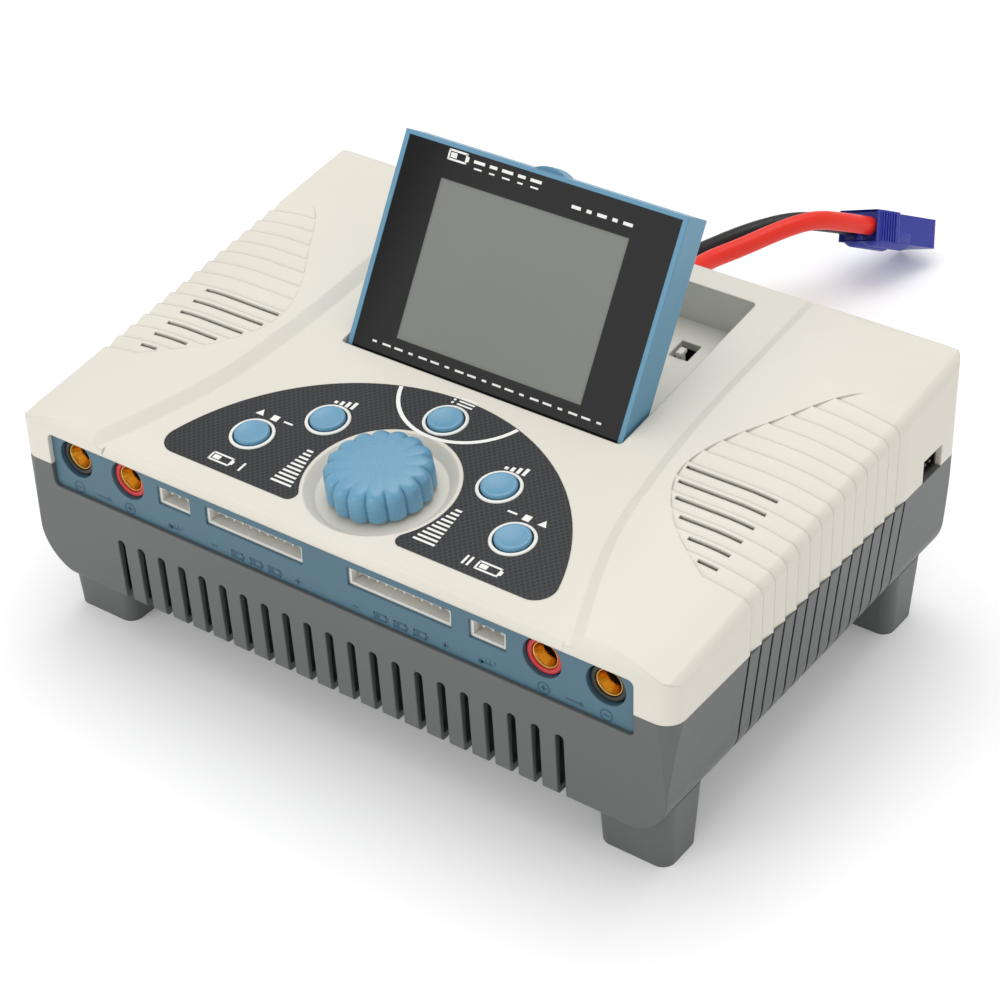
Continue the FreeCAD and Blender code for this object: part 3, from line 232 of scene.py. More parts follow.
def circuit_board():
    material, tree, shader = new_material("solder_mask", Roughness=0.35, IOR=1.5, Coat_Weight=0.3)
    place = add(tree, "TexCoord").outputs["Object"]
    traces = add(tree, "TexVoronoi", {"feature": "DISTANCE_TO_EDGE", "distance": "MANHATTAN"},
                 {"Vector": place, "Scale": 1 / (TRACE_PITCH_MM * MM)})
    colours = ramp(tree, traces.outputs["Distance"],
                   [(0.04, shade(MASK_GREEN, 1.5)), (0.08, linear(MASK_GREEN))])
    tree.links.new(colours, shader.inputs["Base Color"])
    return material


def silicone(name, colour):
    """Silicone sleeve: soft sheen and a fine wave along the extruded skin."""
    material, tree, shader = new_material(name, Roughness=0.38, IOR=1.41, Base_Color=linear(colour),
                                          Sheen_Weight=0.05)
    place = add(tree, "TexCoord").outputs["Object"]
    skin = add(tree, "TexNoise", sockets={"Vector": place, "Scale": 1 / (SKIN_WAVE_MM * MM), "Detail": 3.0})
    rough = add(tree, "MapRange", sockets={"Value": skin.outputs[0], "From Min": 0.3, "From Max": 0.7,
                                           "To Min": 0.3, "To Max": 0.46})
    bump = add(tree, "Bump", sockets={"Height": skin.outputs[0], "Distance": 0.03 * MM})
    tree.links.new(rough.outputs[0], shader.inputs["Roughness"])
    tree.links.new(bump.outputs[0], shader.inputs["Normal"])
    return material


BOARD = circuit_board()
SILICONE_RED = silicone("red_silicone", "#EA2810")
SILICONE_BLACK = silicone("black_silicone", "#0A0909")


# %% [markdown]
# ## Keypad film, ink and window
# The keypad is a polyester film printed from behind: dark grey with a honeycomb of darker cells
# and a satin face. The cells are 1.5 mm apart and every other row is shifted by half a cell, so
# they are two square grids of ovals, one of them moved by half a step both ways.

# %% Keypad film
CELL_WIDE_MM, CELL_TALL_MM = 1.5, 1.75
CELL_PITCH = Vector((1 / (CELL_WIDE_MM * MM), 1 / (CELL_TALL_MM * MM), 0.0))
OVAL = 1.35


def keypad_film():
    material, tree, shader = new_material("printed_polyester", IOR=1.57, Roughness=0.45,
                                          Specular_IOR_Level=0.3)
    place = add(tree, "TexCoord").outputs["Object"]
    nearest = None
    for shift in (0.0, 0.5):
        grid = add(tree, "VectorMath", {"operation": "MULTIPLY_ADD"},
                   {0: place, 1: CELL_PITCH, 2: (shift, shift, 0.0)})
        inside = add(tree, "VectorMath", {"operation": "FRACTION"}, {0: grid.outputs[0]})
        oval = add(tree, "VectorMath", {"operation": "MULTIPLY_ADD"},
                   {0: inside.outputs[0], 1: (1.0, OVAL, 0.0), 2: (-0.5, -OVAL / 2, 0.0)})
        reach = add(tree, "VectorMath", {"operation": "LENGTH"}, {0: oval.outputs[0]}).outputs["Value"]
        nearest = reach if nearest is None else add(tree, "Math", {"operation": "MINIMUM"},
                                                    {0: nearest, 1: reach}).outputs[0]
    colours = ramp(tree, nearest, [(0.30, linear("#131416")), (0.42, linear("#2F3135"))])
    tree.links.new(colours, shader.inputs["Base Color"])
    bump = add(tree, "Bump", sockets={"Height": nearest, "Distance": 0.03 * MM})
    tree.links.new(bump.outputs[0], shader.inputs["Normal"])
    return material


def ink(name, colour, roughness):
    """Screen-printed ink: nearly flat, with the faint unevenness of the mesh it came through."""
    material, tree, shader = new_material(name, IOR=1.5, Roughness=roughness)
    place = add(tree, "TexCoord").outputs["Object"]
    mesh_marks = add(tree, "TexNoise", sockets={"Vector": place, "Scale": 1 / (0.5 * MM)})
    colours = ramp(tree, mesh_marks.outputs[0], [(0.3, shade(colour, 0.94)), (0.7, linear(colour))])
    tree.links.new(colours, shader.inputs["Base Color"])
    return material


FILM = keypad_film()
WHITE_INK = ink("white_ink", "#F2F2EE", 0.4)
# A darker blue laid on the panel as painted shade for the hollows of its moulded marks.
ENGRAVED_MARK_SHADE = ink("engraving_shade", "#2E5369", 0.6)
RING_WHITE = moulded_plastic("white_gloss_abs", "#ECEBE6", roughness=0.22, edge_mm=0.15)

# %% [markdown]
# ## The display window
# The window is black acrylic with a clear rectangle over the LCD, which is off and looks a flat
# grey under the gloss. The rectangle is drawn by its distance from the window's middle, measured
# in the window's own plane, and towards its border the grey darkens into a soft dark line, painted
# shade that stands for the depth of the cell.

# %% Window


def face_frame(name, towards):
    """A frame on the largest flat face that looks towards: X along the model's X, Z outwards."""
    facing = [p for p in nodes[name].data.polygons if p.normal.dot(Vector(towards).normalized()) > 0.85]
    largest = max(facing, key=lambda p: p.area)
    low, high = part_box(name)
    middle = (Vector(low) + Vector(high)) / 2
    normal = largest.normal.normalized()
    middle -= normal * (middle - largest.center).dot(normal)
    across = Vector((1, 0, 0))
    turn = Matrix((across, normal.cross(across), normal)).transposed()
    return Matrix.Translation(middle) @ turn.to_4x4()


KEYPAD_FACE = face_frame("keypad_overlay", (0, 0, 1))
PANEL_FACE = face_frame("front_panel", (0, -1, 0))
WINDOW_FACE = face_frame("display_glass", (0, -1, 0.6))
LCD_WIDE, LCD_TALL = 54.0 * MM, 40.3 * MM
LCD_LIFT = -0.85 * MM


def window_acrylic():
    material, tree, shader = new_material("black_acrylic", IOR=1.42, Roughness=0.1,
                                          Specular_IOR_Level=0.25)
    place = add(tree, "TexCoord").outputs["Object"]
    turned = add(tree, "Mapping", {"vector_type": "TEXTURE"},
                 {"Vector": place, "Location": WINDOW_FACE.translation,
                  "Rotation": WINDOW_FACE.to_euler()})
    moved = add(tree, "VectorMath", {"operation": "SUBTRACT"},
                {0: turned.outputs[0], 1: (0.0, LCD_LIFT, 0.0)})
    folded = add(tree, "VectorMath", {"operation": "ABSOLUTE"}, {0: moved.outputs[0]})
    beyond = add(tree, "VectorMath", {"operation": "SUBTRACT"},
                 {0: folded.outputs[0], 1: (LCD_WIDE / 2, LCD_TALL / 2, 1.0)})
    sides = add(tree, "SeparateXYZ", sockets={"Vector": beyond.outputs[0]})
    edge = add(tree, "Math", {"operation": "MAXIMUM"}, {0: sides.outputs[0], 1: sides.outputs[1]})
    depth = add(tree, "MapRange", sockets={"Value": edge.outputs[0], "From Min": -1.0 * MM,
                                           "From Max": 0.1 * MM})
    # The grey darkens into a soft dark line at the edge of the cell, painted shade, before the black of the
    # window.
    colours = ramp(tree, depth.outputs[0], [(0.0, linear("#838580")), (0.75, linear("#7B7D78")),
                                            (0.86, linear("#2C2D2B")), (0.95, linear("#0E0E0E"))])
    cloud = add(tree, "TexNoise", sockets={"Vector": place, "Scale": 1 / (60 * MM)})
    tinted = add(tree, "MixRGB", {"blend_type": "MULTIPLY"}, {"Fac": 0.12, "Color1": colours,
                                                             "Color2": cloud.outputs["Color"]})
    tree.links.new(tinted.outputs[0], shader.inputs["Base Color"])
    return material


WINDOW = window_acrylic()
LCD_CELL = ink("lcd_cell", "#8C8E8A", 0.25)
print("window plane normal:", [round(c, 3) for c in WINDOW_FACE.to_3x3().col[2]])

# %% [markdown]
# ## The kept CAD nodes
# Most nodes already have the right shape, so they only take their finish here. Their meshes are
# never edited.

# %% Finishes of the CAD nodes
FINISHES = {
    "top_shell": CREAM, "bottom_shell": GREY, "front_panel": PANEL_BLUE, "rear_panel": GREY,
    "keypad_overlay": FILM, "display_frame": FRAME_BLUE, "display_back": FRAME_BLUE,
    "display_glass": WINDOW, "lcd_panel": LCD_CELL, "link_socket": BLACK_NYLON,
    "lead_gland": BLACK_NYLON, "capacitors": CAN, "encoder_body": BLACK_NYLON,
    "encoder_shaft": ALUMINIUM, "display_hinge_pins": ZINC, "housing_screws": ZINC,
    "plug_shell": PLUG_BLUE, "input_lead_red": SILICONE_RED, "input_lead_black": SILICONE_BLACK,
}
BY_START = {
    "button_": CAP_BLUE, "control_knob": CAP_BLUE, "switch_": BLACK_NYLON, "port_": WHITE_NYLON,
    "latch_": CREAM, "header_pins": TIN, "link_pins": TIN, "contact_": GOLD, "plug_contacts": GOLD,
    "socket_left_red": RED_NYLON, "socket_right_red": RED_NYLON,
    "socket_left_black": BLACK_NYLON, "socket_right_black": BLACK_NYLON,
    "fan_": FAN_PBT, "heatsink_": ALUMINIUM, "inductor_": COPPER,
}
BOARDS = ("control_board", "port_board", "display_board", "main_board")


def finish_of(name):
    if name in FINISHES:
        return FINISHES[name]
    if name in BOARDS:
        return BOARD
    return next(material for start, material in BY_START.items() if name.startswith(start))


for name, node in nodes.items():
    node.data.materials.clear()
    node.data.materials.append(finish_of(name))
print("nodes with a finish:", len(nodes))

# %% [markdown]
# ## Making a new piece
# The finer pieces are small turned or moulded shapes, so most begin as one outline spun round an
# axis. A piece is made flat at the origin, then moved to its place inside its own mesh. Faces that
# meet at more than 35 degrees keep a crisp edge, the rest are shaded smooth.

# %% Helpers for pieces
CRISP = math.radians(35)
NEAR_TOP = 0.02 * MM


def finished(name, bm, material, body, place=None):
    """Close, orient and place a bmesh, and make it an object that rides on a body."""
    bmesh.ops.remove_doubles(bm, verts=bm.verts, dist=1e-7)
    if place is not None:
        bm.transform(place)
    bmesh.ops.recalc_face_normals(bm, faces=bm.faces)
    mesh = bpy.data.meshes.new(name)
    bm.to_mesh(mesh)
    bm.free()
    mesh.shade_smooth()
    mesh.set_sharp_from_angle(angle=CRISP)
    mesh.materials.append(material)
    piece = bpy.data.objects.new(name, mesh)
    bpy.context.scene.collection.objects.link(piece)
    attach(piece, body)
    return piece


def turned(bm, outline, steps=64, closed=False):
    """Spin an outline of (radius, height) in millimetres round Z."""
    row = [bm.verts.new((radius * MM, 0, height * MM)) for radius, height in outline]
    edges = [bm.edges.new(pair) for pair in zip(row, row[1:])]
    if closed:
        edges.append(bm.edges.new((row[-1], row[0])))
    bmesh.ops.spin(bm, geom=row + edges, cent=(0, 0, 0), axis=(0, 0, 1), angle=math.tau, steps=steps,
                   use_merge=True)
    return row


def cap_centre(name, normal):
    """Middle of the face of a CAD node that stands furthest along a direction."""
    places = [vertex.co for vertex in nodes[name].data.vertices]
    top = max(co.dot(normal) for co in places)
    near = [co for co in places if co.dot(normal) > top - NEAR_TOP]
    low = Vector([min(co[i] for co in near) for i in range(3)])
    high = Vector([max(co[i] for co in near) for i in range(3)])
    return (low + high) / 2


DECK_TURN = KEYPAD_FACE.to_3x3().to_4x4()
DECK_NORMAL = KEYPAD_FACE.to_3x3().col[2]
DECK_POINT = KEYPAD_FACE.translation


def on_deck(x, y, lift=0.0):
    """A place on the keypad, given as seen from above in millimetres, as a matrix."""
    x, y = x * MM, y * MM
    rise = DECK_NORMAL.x * (x - DECK_POINT.x) + DECK_NORMAL.y * (y - DECK_POINT.y)
    z = DECK_POINT.z - rise / DECK_NORMAL.z
    return Matrix.Translation(Vector((x, y, z)) + DECK_NORMAL * lift * MM) @ DECK_TURN


print("deck leans", round(math.degrees(DECK_NORMAL.angle(Vector((0, 0, 1)))), 2), "degrees")

# %% [markdown]
# ## Details of the plug
# The plug's shell comes from the CAD. Two round barrels under it hold the contacts, six ribs on
# each narrow side give grip, and a thin wall stands round the cable end. They are added to the
# shell in the plug's own frame: x runs from the cable end to the nose.

# %% Plug details
PLUG_ENTRY = Vector((-2.9, 191.5, 18.0)) * MM
PLUG_TURN = Euler([math.radians(a) for a in (-24.4, 25.5, 71.6)], "XYZ")
PLUG_PLACE = Matrix.Translation(PLUG_ENTRY) @ PLUG_TURN.to_matrix().to_4x4()
BARREL_RADIUS, BARREL_LONG = 3.65, 15.4
BARREL_ALONG, BARREL_UNDER = 7.6, -2.45
POLE_HALF = 3.55
RIBS, RIB_START, RIB_PITCH, RIB_SIDE = 6, 1.6, 1.15, 7.3
HOOD_DEEP, HOOD_WALL = 1.15, 0.75


def softened(bm, edges, radius, segments):
    """Round the given edges by a radius in millimetres."""
    bmesh.ops.bevel(bm, geom=list(edges), offset=radius * MM, segments=segments, affect="EDGES",
                    profile=0.5, material=-1)


plug_bm = bmesh.new()
for pole in (-POLE_HALF, POLE_HALF):
    lying = (Matrix.Translation(Vector((BARREL_ALONG, pole, BARREL_UNDER)) * MM)
             @ Matrix.Rotation(math.radians(90), 4, "Y"))
    barrel = bmesh.ops.create_cone(plug_bm, cap_ends=True, segments=40, radius1=BARREL_RADIUS * MM,
                                   radius2=BARREL_RADIUS * MM, depth=BARREL_LONG * MM, matrix=lying)
    softened(plug_bm, {edge for vertex in barrel["verts"] for edge in vertex.link_edges
                       if len(edge.link_faces) == 2
                       and any(len(face.verts) > 4 for face in edge.link_faces)}, 0.9, 3)
for side in (-1, 1):
    for i in range(RIBS):
        rib_at = Matrix.Translation(Vector((RIB_START + RIB_PITCH * i, side * RIB_SIDE, 0.0)) * MM)
        rib_size = Matrix.Diagonal((0.6 * MM, 0.5 * MM, 8.6 * MM, 1))
        rib = bmesh.ops.create_cube(plug_bm, size=1.0, matrix=rib_at @ rib_size)
        softened(plug_bm, {edge for vertex in rib["verts"] for edge in vertex.link_edges}, 0.15, 2)
hood_at = Matrix.Translation(Vector((-0.6, 0, 0)) * MM)
hood_size = Matrix.Diagonal((1.3 * MM, 14.4 * MM, 9.4 * MM, 1))
hood = bmesh.ops.create_cube(plug_bm, size=1.0, matrix=hood_at @ hood_size)
open_end = [face for face in {f for v in hood["verts"] for f in v.link_faces} if face.normal.x < -0.9]
bmesh.ops.inset_region(plug_bm, faces=open_end, thickness=HOOD_WALL * MM)
bmesh.ops.translate(plug_bm, verts=open_end[0].verts[:], vec=Vector((HOOD_DEEP, 0, 0)) * MM)
plug_details = finished("plug_barrels_and_ribs", plug_bm, PLUG_BLUE, "housing", PLUG_PLACE)
print("plug details faces:", len(plug_details.data.polygons))

# %% [markdown]
# ## The input leads
# Two silicone leads leave the gland straight back, sag a little between the gland and the plug,
# and carry the plug's cable end while its nose rests on the table. Each is one smooth spline
# through its route, with a round section. A lead could be simulated, but these two are held at
# both ends and their shape is known, so they are drawn.

# %% Input leads
RED_ROUTE = [(-20, 66.5, 30), (-20.6, 86, 29.3), (-23.4, 110, 27), (-23.8, 135.3, 26),
             (-18.2, 148.3, 26.6), (-12.6, 161, 28.2), (-7.4, 170.8, 28.6), (-3.3, 179.9, 24.9),
             (0.4, 191.1, 19.3)]
BLACK_ROUTE = [(-28, 66.5, 30), (-28.8, 86, 29.2), (-33.2, 109, 26.4), (-34.2, 130, 23.4),
               (-30.5, 147.5, 22), (-25.5, 162.5, 22.4), (-16.5, 173.4, 24.2), (-9.9, 180.8, 22.3),
               (-6.2, 191.9, 16.7)]
LEAD_THICK = 5.5 * MM


def lead(name, node, route, sleeve):
    line = bpy.data.curves.new(name, "CURVE")
    line.dimensions = "3D"
    line.bevel_depth = LEAD_THICK / 2
    line.bevel_resolution = 6
    line.resolution_u = 12
    line.use_fill_caps = True
    spline = line.splines.new("NURBS")
    spline.points.add(len(route) - 1)
    for point, place in zip(spline.points, route):
        point.co = (*[c * MM for c in place], 1.0)
    spline.order_u = 3
    spline.use_endpoint_u = True
    line.materials.append(sleeve)
    piece = bpy.data.objects.new(name, line)
    bpy.context.scene.collection.objects.link(piece)
    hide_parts(node)
    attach(piece, "housing")
    return piece


red_lead = lead("red_lead", "input_lead_red", RED_ROUTE, SILICONE_RED)
black_lead = lead("black_lead", "input_lead_black", BLACK_ROUTE, SILICONE_BLACK)
print("leads:", red_lead.name, black_lead.name)

# %% [markdown]
# ## The knob
# The knob is a moulded drum with sixteen soft lobes, and narrow creases between them that roll
# over its top edge and fade out on the flat top. The drum is spun with its shaft bore, and then
# each vertex is drawn in at the creases. A narrow crease is a power of the sine of eight turns.

# %% Knob
LOBES = 16
CREASE_DEEP = 1.15 * MM
CREASE_FROM, CREASE_FADE = 9.4, 2.4
CREASE_DIP = 0.5 * MM
DOME_FROM = 5.5 * MM
KNOB_OUTLINE = [(0, 7.62), (6.0, 7.62), (9.6, 7.6), (10.4, 7.52), (11.2, 7.35), (11.9, 7.02),
                (12.4, 6.55), (12.75, 5.9), (12.9, 5.1), (12.95, 4.0), (12.97, 2.5), (12.98, 1.0),
                (12.95, 0.3), (12.7, 0.0), (8.0, 0.0), (3.1, 0.0), (3.1, 5.7), (0, 5.7)]

knob_bm = bmesh.new()
turned(knob_bm, KNOB_OUTLINE, steps=LOBES * 14)
for vertex in knob_bm.verts:
    radius = math.hypot(vertex.co.x, vertex.co.y)
    lobe = abs(math.sin(LOBES / 2 * math.atan2(vertex.co.y, vertex.co.x)))
    crease = (1 - lobe ** 0.55) * min(1.0, max(0.0, (radius / MM - CREASE_FROM) / CREASE_FADE))
    if radius > CREASE_FROM * MM:
        vertex.co.x *= 1 - crease * CREASE_DEEP / radius
        vertex.co.y *= 1 - crease * CREASE_DEEP / radius
        if vertex.co.z > DOME_FROM:
            vertex.co.z -= crease * CREASE_DIP
knob_top = cap_centre("control_knob", DECK_NORMAL)
knob_place = Matrix.Translation(knob_top - DECK_NORMAL * 7.7 * MM) @ DECK_TURN
knob = finished("control_knob_ribbed", knob_bm, CAP_BLUE, "knob", knob_place)
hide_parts("control_knob")
print("knob faces:", len(knob.data.polygons))

# %% [markdown]
# ## The five keys
# Each key is a round cap with a shallow dish that a fingertip finds, inside a glossy white ring
# that stands on the film. Both are turned shapes.

# %% Keys and their rings
CAP_OUTLINE = [(0, 0.72), (1.6, 0.76), (2.8, 0.88), (3.5, 1.02), (3.85, 1.04), (4.1, 0.95),
               (4.26, 0.75), (4.3, 0.45), (4.3, -3.4), (5.1, -3.4), (5.1, -4.4), (0, -4.4)]
RING_OUTLINE = [(4.74, 0.02), (4.74, 0.22), (4.86, 0.34), (5.05, 0.38), (5.3, 0.36), (5.5, 0.24),
                (5.6, 0.02)]
KEYS = ("start_left", "status_left", "menu", "status_right", "start_right")
key_places = {}
for key in KEYS:
    top = cap_centre("button_" + key, DECK_NORMAL)
    height = (top - DECK_POINT).dot(DECK_NORMAL)
    seat = Matrix.Translation(top - DECK_NORMAL * height) @ DECK_TURN
    key_places[key] = (top.x / MM, top.y / MM)
    cap_bm = bmesh.new()
    turned(cap_bm, CAP_OUTLINE)
    cap = finished("key_cap_" + key, cap_bm, CAP_BLUE, "key_" + key, seat)
    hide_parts("button_" + key)
    ring_bm = bmesh.new()
    turned(ring_bm, RING_OUTLINE, closed=True)
    finished("key_ring_" + key, ring_bm, RING_WHITE, "housing", seat)
print("keys at", {key: [round(c, 1) for c in place] for key, place in key_places.items()})

# %% [markdown]
# ## Printed marks
# Marks on the keypad and the window are screen-printed: a layer of ink a few hundredths of a
# millimetre thick. The marks moulded into the front panel are drawn the same way, as a darker layer
# that is painted shade for their hollows. Printed words and names are replaced by plain symbols,
# such as a cell, a triangle or a bar. Each one is built from thin bars, discs and arcs, so that it
# catches the light as a layer of ink does.

# %% Helpers for marks
INK_THICK = 0.04 * MM


def bar(bm, x, y, wide, tall):
    place = Matrix.Translation((x * MM, y * MM, INK_THICK / 2))
    size = Matrix.Diagonal((wide * MM, tall * MM, INK_THICK, 1))
    bmesh.ops.create_cube(bm, size=1.0, matrix=place @ size)


def disc(bm, x, y, radius, sides=24):
    """A flat disc; with three sides it is a triangle."""
    place = Matrix.Translation((x * MM, y * MM, INK_THICK / 2))
    bmesh.ops.create_cone(bm, cap_ends=True, segments=sides, radius1=radius * MM, radius2=radius * MM,
                          depth=INK_THICK, matrix=place)


def arc(bm, x, y, radius, wide, start=0, sweep=360):
    """A band round a centre, swept from its start angle in degrees."""
    whole = sweep == 360
    inner, outer = (radius - wide / 2) * MM, (radius + wide / 2) * MM
    corners = ((inner, 0), (outer, 0), (outer, INK_THICK), (inner, INK_THICK))
    turn = Matrix.Rotation(math.radians(start), 3, "Z")
    middle = Vector((x * MM, y * MM, 0))
    row = [bm.verts.new(middle + turn @ Vector((r, 0, z))) for r, z in corners]
    section = [bm.edges.new((row[i], row[(i + 1) % 4])) for i in range(4)]
    face = [] if whole else [bm.faces.new(row)]
    bmesh.ops.spin(bm, geom=row + section + face, cent=middle, axis=(0, 0, 1),
                   angle=math.radians(sweep), steps=max(8, round(sweep / 6)), use_merge=whole)


def cell_mark(bm, x, y, wide=4.2, tall=2.2, line=0.4):
    """An upright outline of a battery cell with its terminal and one charge bar."""
    for side in (-1, 1):
        bar(bm, x, y + side * (tall - line) / 2, wide, line)
        bar(bm, x + side * (wide - line) / 2, y, line, tall)
    bar(bm, x + wide / 2 + 0.25, y, 0.5, tall * 0.45)
    bar(bm, x - wide * 0.2, y, wide * 0.32, tall * 0.45)


def ring_mark(bm, x, y, sign, radius=1.5, line=0.38):
    """A plus or a minus in a circle."""
    arc(bm, x, y, radius, line)
    bar(bm, x, y, radius * 1.15, line)
    if sign > 0:
        bar(bm, x, y, line, radius * 1.15)


# %% Marks on the keypad
keypad_bm = bmesh.new()
FILM_LEAN = math.cos(DECK_NORMAL.angle(Vector((0, 0, 1))))


def down_film(y):
    """Distance along the film of a place given as seen from above."""
    return y / FILM_LEAN


WEDGE_BARS = 10
WEDGE_OUTER, WEDGE_INNER = 23.6, 17.6
CHANNEL_X, CHANNEL_Y = 38.5, -52.0
TALLY_X, TALLY_PITCH = 32.2, 1.3
ABOVE_START, ABOVE_STATUS = 7.3, 7.1
MENU_Y = -8.4
SWEEP_AT, SWEEP_RADIUS = -4.4, 18.1
start_x, start_y = key_places["start_right"]
status_x, status_y = key_places["status_right"]
start_mark = down_film(start_y + ABOVE_START)
for side in (-1, 1):
    for i in range(WEDGE_BARS):
        part = i / (WEDGE_BARS - 1)
        outer, inner = WEDGE_OUTER - 1.2 * part, WEDGE_INNER + 3.0 * part
        bar(keypad_bm, side * (outer + inner) / 2, down_film(-51.8 + 11.9 * part), outer - inner, 0.62)
    cell_mark(keypad_bm, side * CHANNEL_X, down_film(CHANNEL_Y), wide=6.4, tall=2.9, line=0.5)
    for i in range(1 if side < 0 else 2):
        bar(keypad_bm, side * TALLY_X + i * TALLY_PITCH, down_film(CHANNEL_Y), 0.6, 2.9)
    disc(keypad_bm, side * (start_x + 3.2), start_mark, 1.35, sides=3)
    bar(keypad_bm, side * (start_x - 1.2), start_mark, 1.9, 1.9)
    bar(keypad_bm, side * (start_x - 5.2), start_mark, 2.6, 0.55)
    for i in range(4):
        tall = 0.9 + 0.55 * i
        bar(keypad_bm, side * status_x - 2.4 + 1.6 * i,
            down_film(status_y + ABOVE_STATUS) + tall / 2 - 1.2, 0.9, tall)
for row in (-1, 0, 1):
    bar(keypad_bm, 0.9, down_film(MENU_Y) + row * 1.1, 4.4, 0.5)
    disc(keypad_bm, -2.6, down_film(MENU_Y) + row * 1.1, 0.36, sides=12)
arc(keypad_bm, 0, down_film(SWEEP_AT), SWEEP_RADIUS, 1.0, start=200, sweep=140)
marks_at = on_deck(0, 0, 0.012)
keypad_print = finished("keypad_print", keypad_bm, WHITE_INK, "housing", marks_at)
print("keypad print faces:", len(keypad_print.data.polygons))

# %% Marks moulded in the front panel, drawn as a layer of painted shade
panel_bm = bmesh.new()
LEGEND_Z = 42.9
legend_y = LEGEND_Z - PANEL_FACE.translation.z / MM
MINUS_X, ARROW_X, PLUS_X = 76.4, 68.3, 60.1
SENSOR_X, BALANCE_X, BALANCE_END = 45.3, 21, 12.6
for side in (-1, 1):
    ring_mark(panel_bm, side * MINUS_X, legend_y, -1)
    ring_mark(panel_bm, side * PLUS_X, legend_y, 1)
    bar(panel_bm, side * ARROW_X - 0.6, legend_y, 3.4, 0.42)
    disc(panel_bm, side * ARROW_X + 1.6, legend_y, 0.85, sides=3)
    bar(panel_bm, side * SENSOR_X - 0.4, legend_y, 3.2, 0.5)
    disc(panel_bm, side * SENSOR_X - 2.0, legend_y, 0.75)
    for dx in (-1.2, 0, 1.2):
        bar(panel_bm, side * SENSOR_X + dx + 0.6, legend_y + 0.8, 0.3, 0.7)
    bar(panel_bm, side * BALANCE_X - BALANCE_END, legend_y, 1.8, 0.42)
    bar(panel_bm, side * BALANCE_X + BALANCE_END, legend_y, 1.8, 0.42)
    bar(panel_bm, side * BALANCE_X + BALANCE_END, legend_y, 0.42, 1.8)
    for dx in (-5.6, 0, 5.6):
        cell_mark(panel_bm, side * BALANCE_X + dx, legend_y, wide=3.6, tall=1.9, line=0.34)
panel_marks = finished("panel_marks", panel_bm, ENGRAVED_MARK_SHADE, "housing", PANEL_FACE)
print("panel marks faces:", len(panel_marks.data.polygons))

# %% Marks on the display window
window_bm = bmesh.new()
HALF_WINDOW = 28.0
TITLE_Y, SUBTITLE_Y, MODEL_Y, FOOT_Y = 53.2, 51.6, 50.2, 4.6
cell_mark(window_bm, -24.0, TITLE_Y - HALF_WINDOW, wide=5.6, tall=2.7, line=0.5)
for i, wide in enumerate((3.2, 2.2, 3.2, 2.2, 3.2)):
    bar(window_bm, -17.6 + 4.1 * i, TITLE_Y - HALF_WINDOW, wide, 0.75)
    bar(window_bm, -17.6 + 4.1 * i, SUBTITLE_Y - HALF_WINDOW, wide * 0.7, 0.4)
for i, wide in enumerate((2.6, 1.4, 2.6, 1.4, 2.6)):
    bar(window_bm, 11.2 + 3.6 * i, MODEL_Y - HALF_WINDOW, wide, 0.8)
for i in range(19):
    bar(window_bm, -32.8 + 3.65 * i, FOOT_Y - HALF_WINDOW, 2.5 if i % 3 else 1.3, 0.5)
window_print = finished("window_print", window_bm, WHITE_INK, "display", WINDOW_FACE)
print("window print faces:", len(window_print.data.polygons))
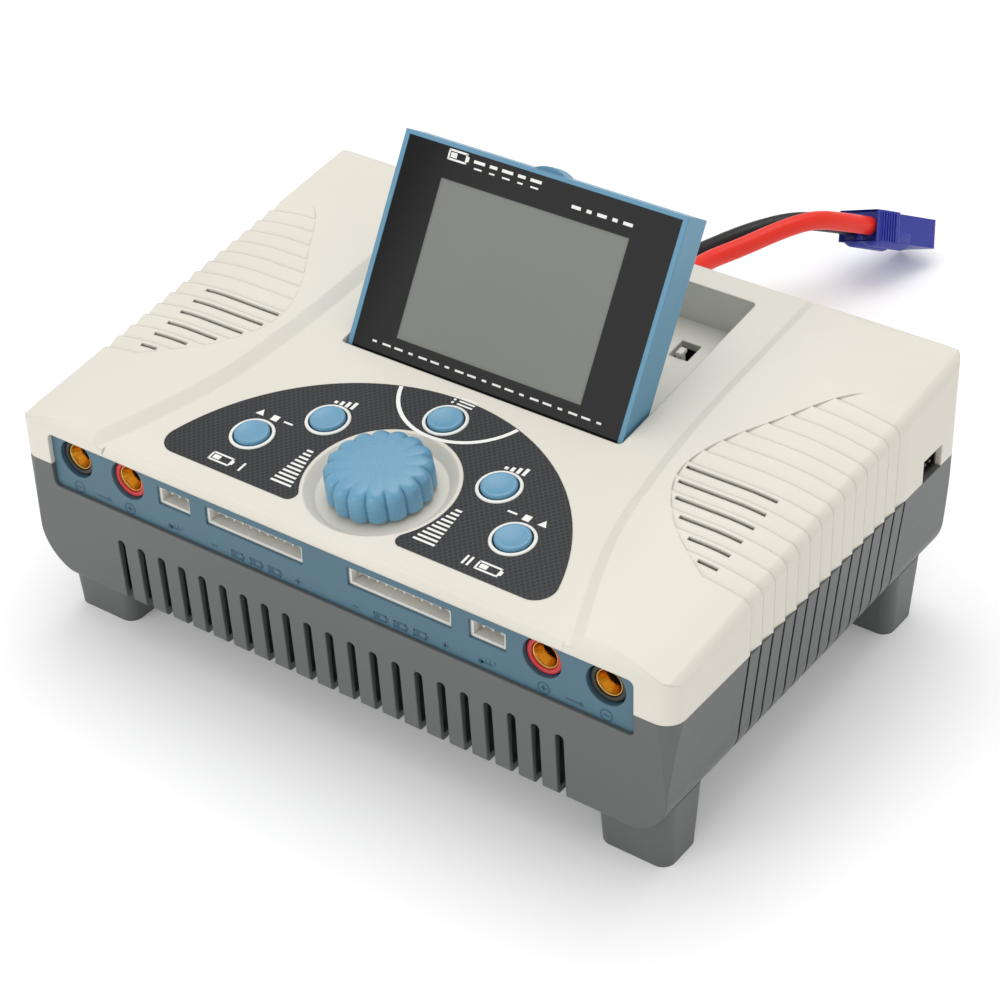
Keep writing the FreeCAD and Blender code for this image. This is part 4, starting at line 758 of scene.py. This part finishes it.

# %% [markdown]
# ## Output sockets
# Each output is a round collar of red or black nylon with a softened rim, and in it a turned,
# gold-plated tube. The tube's lip is a thin bright ring and its mouth is a funnel, which leads a
# bullet plug into the bore. Down the bore the tube takes a dark brass colour, painted shade for
# the deep, narrow bore. Both are one outline spun round the socket's axis.

# %% Sockets
COLLAR_OUTLINE = [(3.47, -12.9), (3.47, -1.35), (3.62, -1.0), (3.9, -0.86), (4.4, -0.86),
                  (4.68, -1.0), (4.8, -1.3), (4.8, -3.9), (4.25, -3.9), (4.25, -12.9)]
TUBE_OUTLINE = [(0, -11.3), (1.95, -11.3), (2.02, -11.1), (2.02, -4.4), (2.25, -3.7), (2.95, -1.75),
                (3.06, -1.45), (3.16, -1.32), (3.3, -1.32), (3.42, -1.5), (3.44, -1.9), (3.44, -12.9),
                (0, -12.9)]
BORE_RADIUS, BORE_FROM = 2.1 * MM, -4 * MM
SOCKET_TURN = PANEL_FACE.to_3x3().to_4x4()
COLLARS = {"left_black": BLACK_NYLON, "left_red": RED_NYLON,
           "right_red": RED_NYLON, "right_black": BLACK_NYLON}
for place, nylon in COLLARS.items():
    low, high = (Vector(corner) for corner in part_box("socket_" + place))
    axis_at = Vector(((low.x + high.x) / 2, PANEL_FACE.translation.y, (low.z + high.z) / 2))
    socket_place = Matrix.Translation(axis_at) @ SOCKET_TURN
    collar_bm = bmesh.new()
    turned(collar_bm, COLLAR_OUTLINE, closed=True)
    collar = finished("output_collar_" + place, collar_bm, nylon, "housing", socket_place)
    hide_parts("socket_" + place)
    tube_bm = bmesh.new()
    turned(tube_bm, TUBE_OUTLINE, steps=48)
    # Faces down the bore take the dark brass: painted shade.
    for face in tube_bm.faces:
        middle = face.calc_center_median()
        down_bore = math.hypot(middle.x, middle.y) < BORE_RADIUS and middle.z < BORE_FROM
        face.material_index = int(down_bore)
    tube = finished("output_tube_" + place, tube_bm, GOLD, "housing", socket_place)
    tube.data.materials.append(BORE_SHADE_BRASS)
    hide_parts("contact_" + place)
print("sockets:", list(COLLARS))

# %% [markdown]
# ## Floor and light
# A white sweep with a pale sky on all sides keeps every shadow soft. The sweep glows faintly and
# evenly, as a translucent product table lit from behind does, which lifts the shadow on it. One large
# lamp overhead lights the top, a second one fills the front, and a weak one keeps the right side
# readable.

# %% Floor
FLOOR_HALF = 3.0
BACKLIGHT = 0.13

floor_bm = bmesh.new()
bmesh.ops.create_grid(floor_bm, x_segments=1, y_segments=1, size=FLOOR_HALF)
floor_mesh = bpy.data.meshes.new("studio_floor")
floor_bm.to_mesh(floor_mesh)
floor_bm.free()
floor = bpy.data.objects.new("studio_floor", floor_mesh)
bpy.context.scene.collection.objects.link(floor)
PAPER = ink("white_paper_sweep", "#FAFAFA", 0.85)
paper_shader = PAPER.node_tree.nodes["Principled BSDF"]
paper_shader.inputs["Emission Color"].default_value = linear("#FFFFFF")
paper_shader.inputs["Emission Strength"].default_value = BACKLIGHT
floor_mesh.materials.append(PAPER)

# %% Lights
SKY = 0.72

world = bpy.data.worlds.new("studio")
bpy.context.scene.world = world
world.use_nodes = True
world.node_tree.nodes["Background"].inputs["Color"].default_value = linear("#FFFFFF")
world.node_tree.nodes["Background"].inputs["Strength"].default_value = SKY


def soft_box(name, at, size, watts):
    lamp = bpy.data.lights.new(name, "AREA")
    lamp.size = size
    lamp.energy = watts
    holder = bpy.data.objects.new(name, lamp)
    bpy.context.scene.collection.objects.link(holder)
    holder.matrix_world = (Matrix.Translation(at)
                           @ (LOOK_AT - Vector(at)).to_track_quat("-Z", "Y").to_matrix().to_4x4())


soft_box("overhead", (-0.1, 0.3, 1.1), 0.9, 5.2)
soft_box("right_side", (1.1, 0.1, 0.6), 0.7, 0.25)
soft_box("front", (-0.35, -1.0, 0.5), 0.7, 2.4)
bpy.context.scene.view_settings.view_transform = "Standard"
